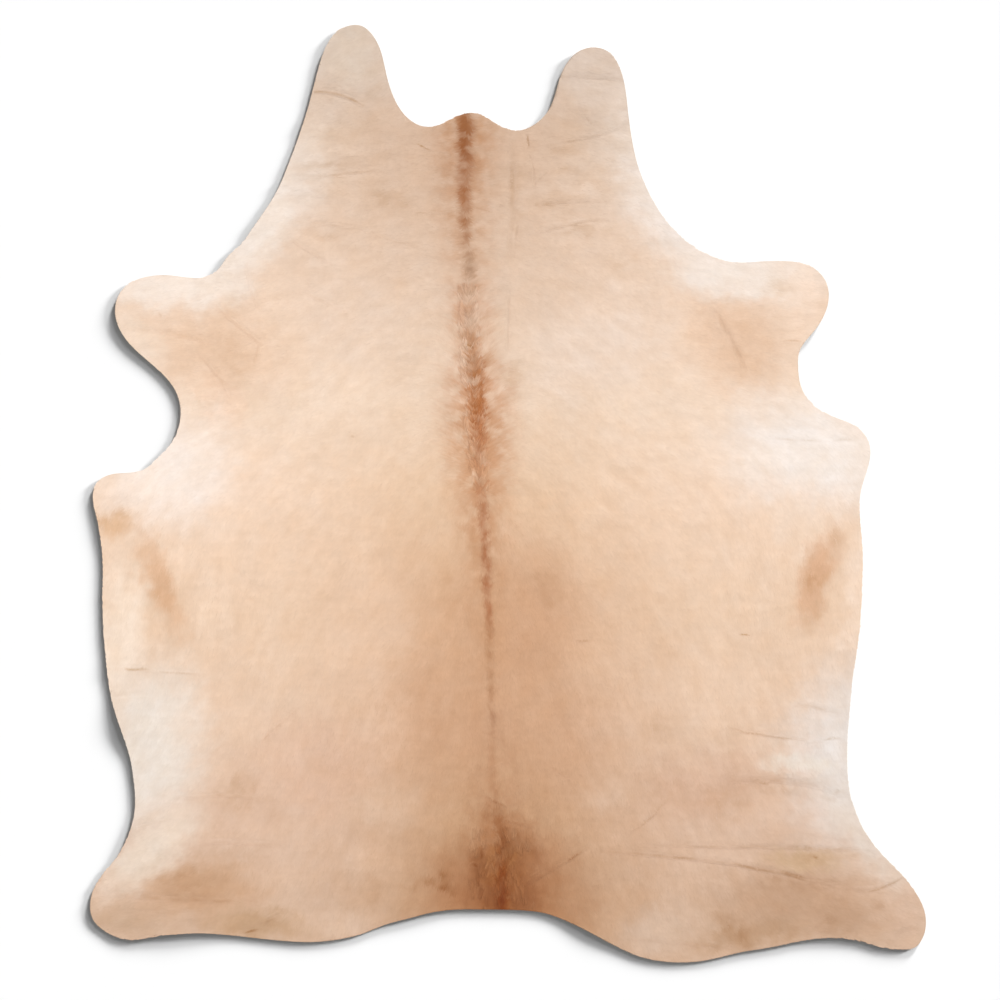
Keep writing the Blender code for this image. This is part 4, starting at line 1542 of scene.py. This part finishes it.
def grain_side_material():
    """Grain side of chrome tanned cowhide, under the hair."""
    material, tree, shader = new_material("chrome tanned cowhide, grain side")
    place = add_node(tree, "TexCoord").outputs["Object"]
    colour = tree.nodes.new("ShaderNodeGroup")
    colour.node_tree = paint
    colour.inputs["Tone"].default_value = MIDDLE_TONE
    tree.links.new(place, colour.inputs["Place"])
    dark = add_node(tree, "VectorMath", {0: colour.outputs[0], "Scale": GRAIN_SHADE}, operation="SCALE")
    tree.links.new(dark.outputs[0], shader.inputs["Base Color"])
    pores = add_node(tree, "TexVoronoi", {"Vector": place, "Scale": 1 / FOLLICLE})
    rough = add_node(tree, "MapRange", {0: pores.outputs[0], 1: 0.0, 2: 0.6, 3: 0.75, 4: 0.6})
    tree.links.new(rough.outputs[0], shader.inputs["Roughness"])
    bump = add_node(tree, "Bump", {
        "Strength": 0.5, "Distance": FOLLICLE_RELIEF, "Height": pores.outputs[0]})
    tree.links.new(bump.outputs[0], shader.inputs["Normal"])
    shader.inputs["Specular IOR Level"].default_value = 0.3
    return material


def flesh_side_material():
    """Flesh side of chrome tanned cowhide, buffed to suede."""
    material, tree, shader = new_material("chrome tanned cowhide, buffed flesh side")
    place = add_node(tree, "TexCoord").outputs["Object"]
    clouds = add_node(tree, "TexNoise", {"Vector": place, "Scale": 1 / NAP_CLOUDS, "Detail": 4.0})
    nap = add_node(tree, "TexNoise", {"Vector": place, "Scale": 1 / NAP, "Detail": 2.0})
    both = add_node(tree, "Math", {0: nap.outputs[0], 1: NAP_SHARE, 2: clouds.outputs[0]},
                    operation="MULTIPLY_ADD")
    colour = add_node(tree, "ValToRGB", {0: both.outputs[0]}, stops=[
        (0.45, linear("b9ab98")), (0.70, linear("cdc1b0")), (0.95, linear("d9cfc0"))])
    tree.links.new(colour.outputs[0], shader.inputs["Base Color"])
    rough = add_node(tree, "MapRange", {0: nap.outputs[0], 3: 0.85, 4: 1.0})
    tree.links.new(rough.outputs[0], shader.inputs["Roughness"])
    bump = add_node(tree, "Bump", {"Strength": 0.6, "Distance": NAP_RELIEF, "Height": nap.outputs[0]})
    tree.links.new(bump.outputs[0], shader.inputs["Normal"])
    shader.inputs["Specular IOR Level"].default_value = 0.2
    return material


skin.data.materials.append(grain_side_material())
skin.data.materials.append(flesh_side_material())
print("sides of the skin:", [material.name for material in skin.data.materials])

# %% [markdown]
# Floor and light
#
# The hide lies on a plain matt board in a pale studio. It is lit by a bright room on all sides,
# by a wide soft ceiling and by a large soft lamp at the upper right. Three lower lamps from the
# same side are linked to the floor alone and throw the shadow along the left and lower edges:
# two low ones its narrow dark part, and a higher, softer one its soft outer part.

# %% Floor
FLOOR_REACH = 30.0
UNDER_THE_HIDE = 0.2 * MM
BOARD_GRAIN = 2 * MM

floor_net = bmesh.new()
bmesh.ops.create_grid(floor_net, x_segments=1, y_segments=1, size=FLOOR_REACH)
bmesh.ops.translate(floor_net, verts=floor_net.verts, vec=(0, 0, -UNDER_THE_HIDE))
floor_mesh = bpy.data.meshes.new("floor")
floor_net.to_mesh(floor_mesh)
floor_net.free()
floor = bpy.data.objects.new("floor", floor_mesh)
bpy.context.scene.collection.objects.link(floor)
floor_material, floor_tree, floor_shader = new_material("matt studio board")
board = add_node(floor_tree, "TexCoord").outputs["Object"]
board_noise = add_node(floor_tree, "TexNoise", {"Vector": board, "Scale": 1 / BOARD_GRAIN})
board_rough = add_node(floor_tree, "MapRange", {0: board_noise.outputs[0], 3: 0.85, 4: 0.95})
floor_tree.links.new(board_rough.outputs[0], floor_shader.inputs["Roughness"])
floor_shader.inputs["Base Color"].default_value = linear("f4f4f4")
floor_shader.inputs["Specular IOR Level"].default_value = 0.1
floor_mesh.materials.append(floor_material)
print("floor, in metres:", [round(size, 1) for size in floor.dimensions[:2]])

# %% Light
ROOM_LIGHT = 0.18

# Columns: azimuth anticlockwise from +X and elevation in degrees, how bright it makes a matt
# surface that faces it, where 1 is white, softness in degrees, and what it lights.
LAMPS = {
    "ceiling": (0, 90, 0.442, 110, (skin, *hair_pieces)),
    "soft_lamp": (52, 52, 0.545, 42, (skin, *hair_pieces)),
    "low_lamp_right": (28, 7, 2.95, 6.5, (floor,)),
    "low_lamp_back": (62, 7, 2.95, 6.5, (floor,)),
    "edge_lamp": (45, 13.5, 0.90, 27, (floor,)),
}


def lamp(name, azimuth, elevation, light, softness, lit):
    """A large far lamp that lights some pieces, with its numbers as in LAMPS."""
    data = bpy.data.lights.new(name, "SUN")
    data.energy = light * pi
    data.angle = radians(softness)
    source = bpy.data.objects.new(name, data)
    source.rotation_euler = Euler((0, radians(90 - elevation), radians(azimuth)))
    bpy.context.scene.collection.objects.link(source)
    receivers = bpy.data.collections.new(name + "_lights")
    for piece in lit:
        receivers.objects.link(piece)
    source.light_linking.receiver_collection = receivers


for name, row in LAMPS.items():
    lamp(name, *row)

world = bpy.data.worlds.new("studio room")
world.use_nodes = True
background = world.node_tree.nodes["Background"]
background.inputs["Color"].default_value = (1, 1, 1, 1)
background.inputs["Strength"].default_value = ROOM_LIGHT
bpy.context.scene.world = world
bpy.context.scene.view_settings.view_transform = "Standard"
print("lamps:", list(LAMPS))

# %% [markdown]
# What the pieces are
#
# The skin takes the place of the solid hide, which is hidden: it was cut as one flat piece,
# 1.87 m wide and 2.10 m long with 2.80 square metres, and it is laid on the floor. The coat
# grows on it. All of it is attached to one body.

# %% Attach to one body
for piece in (skin, *hair_pieces):
    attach(piece, "root")
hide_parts("hide")
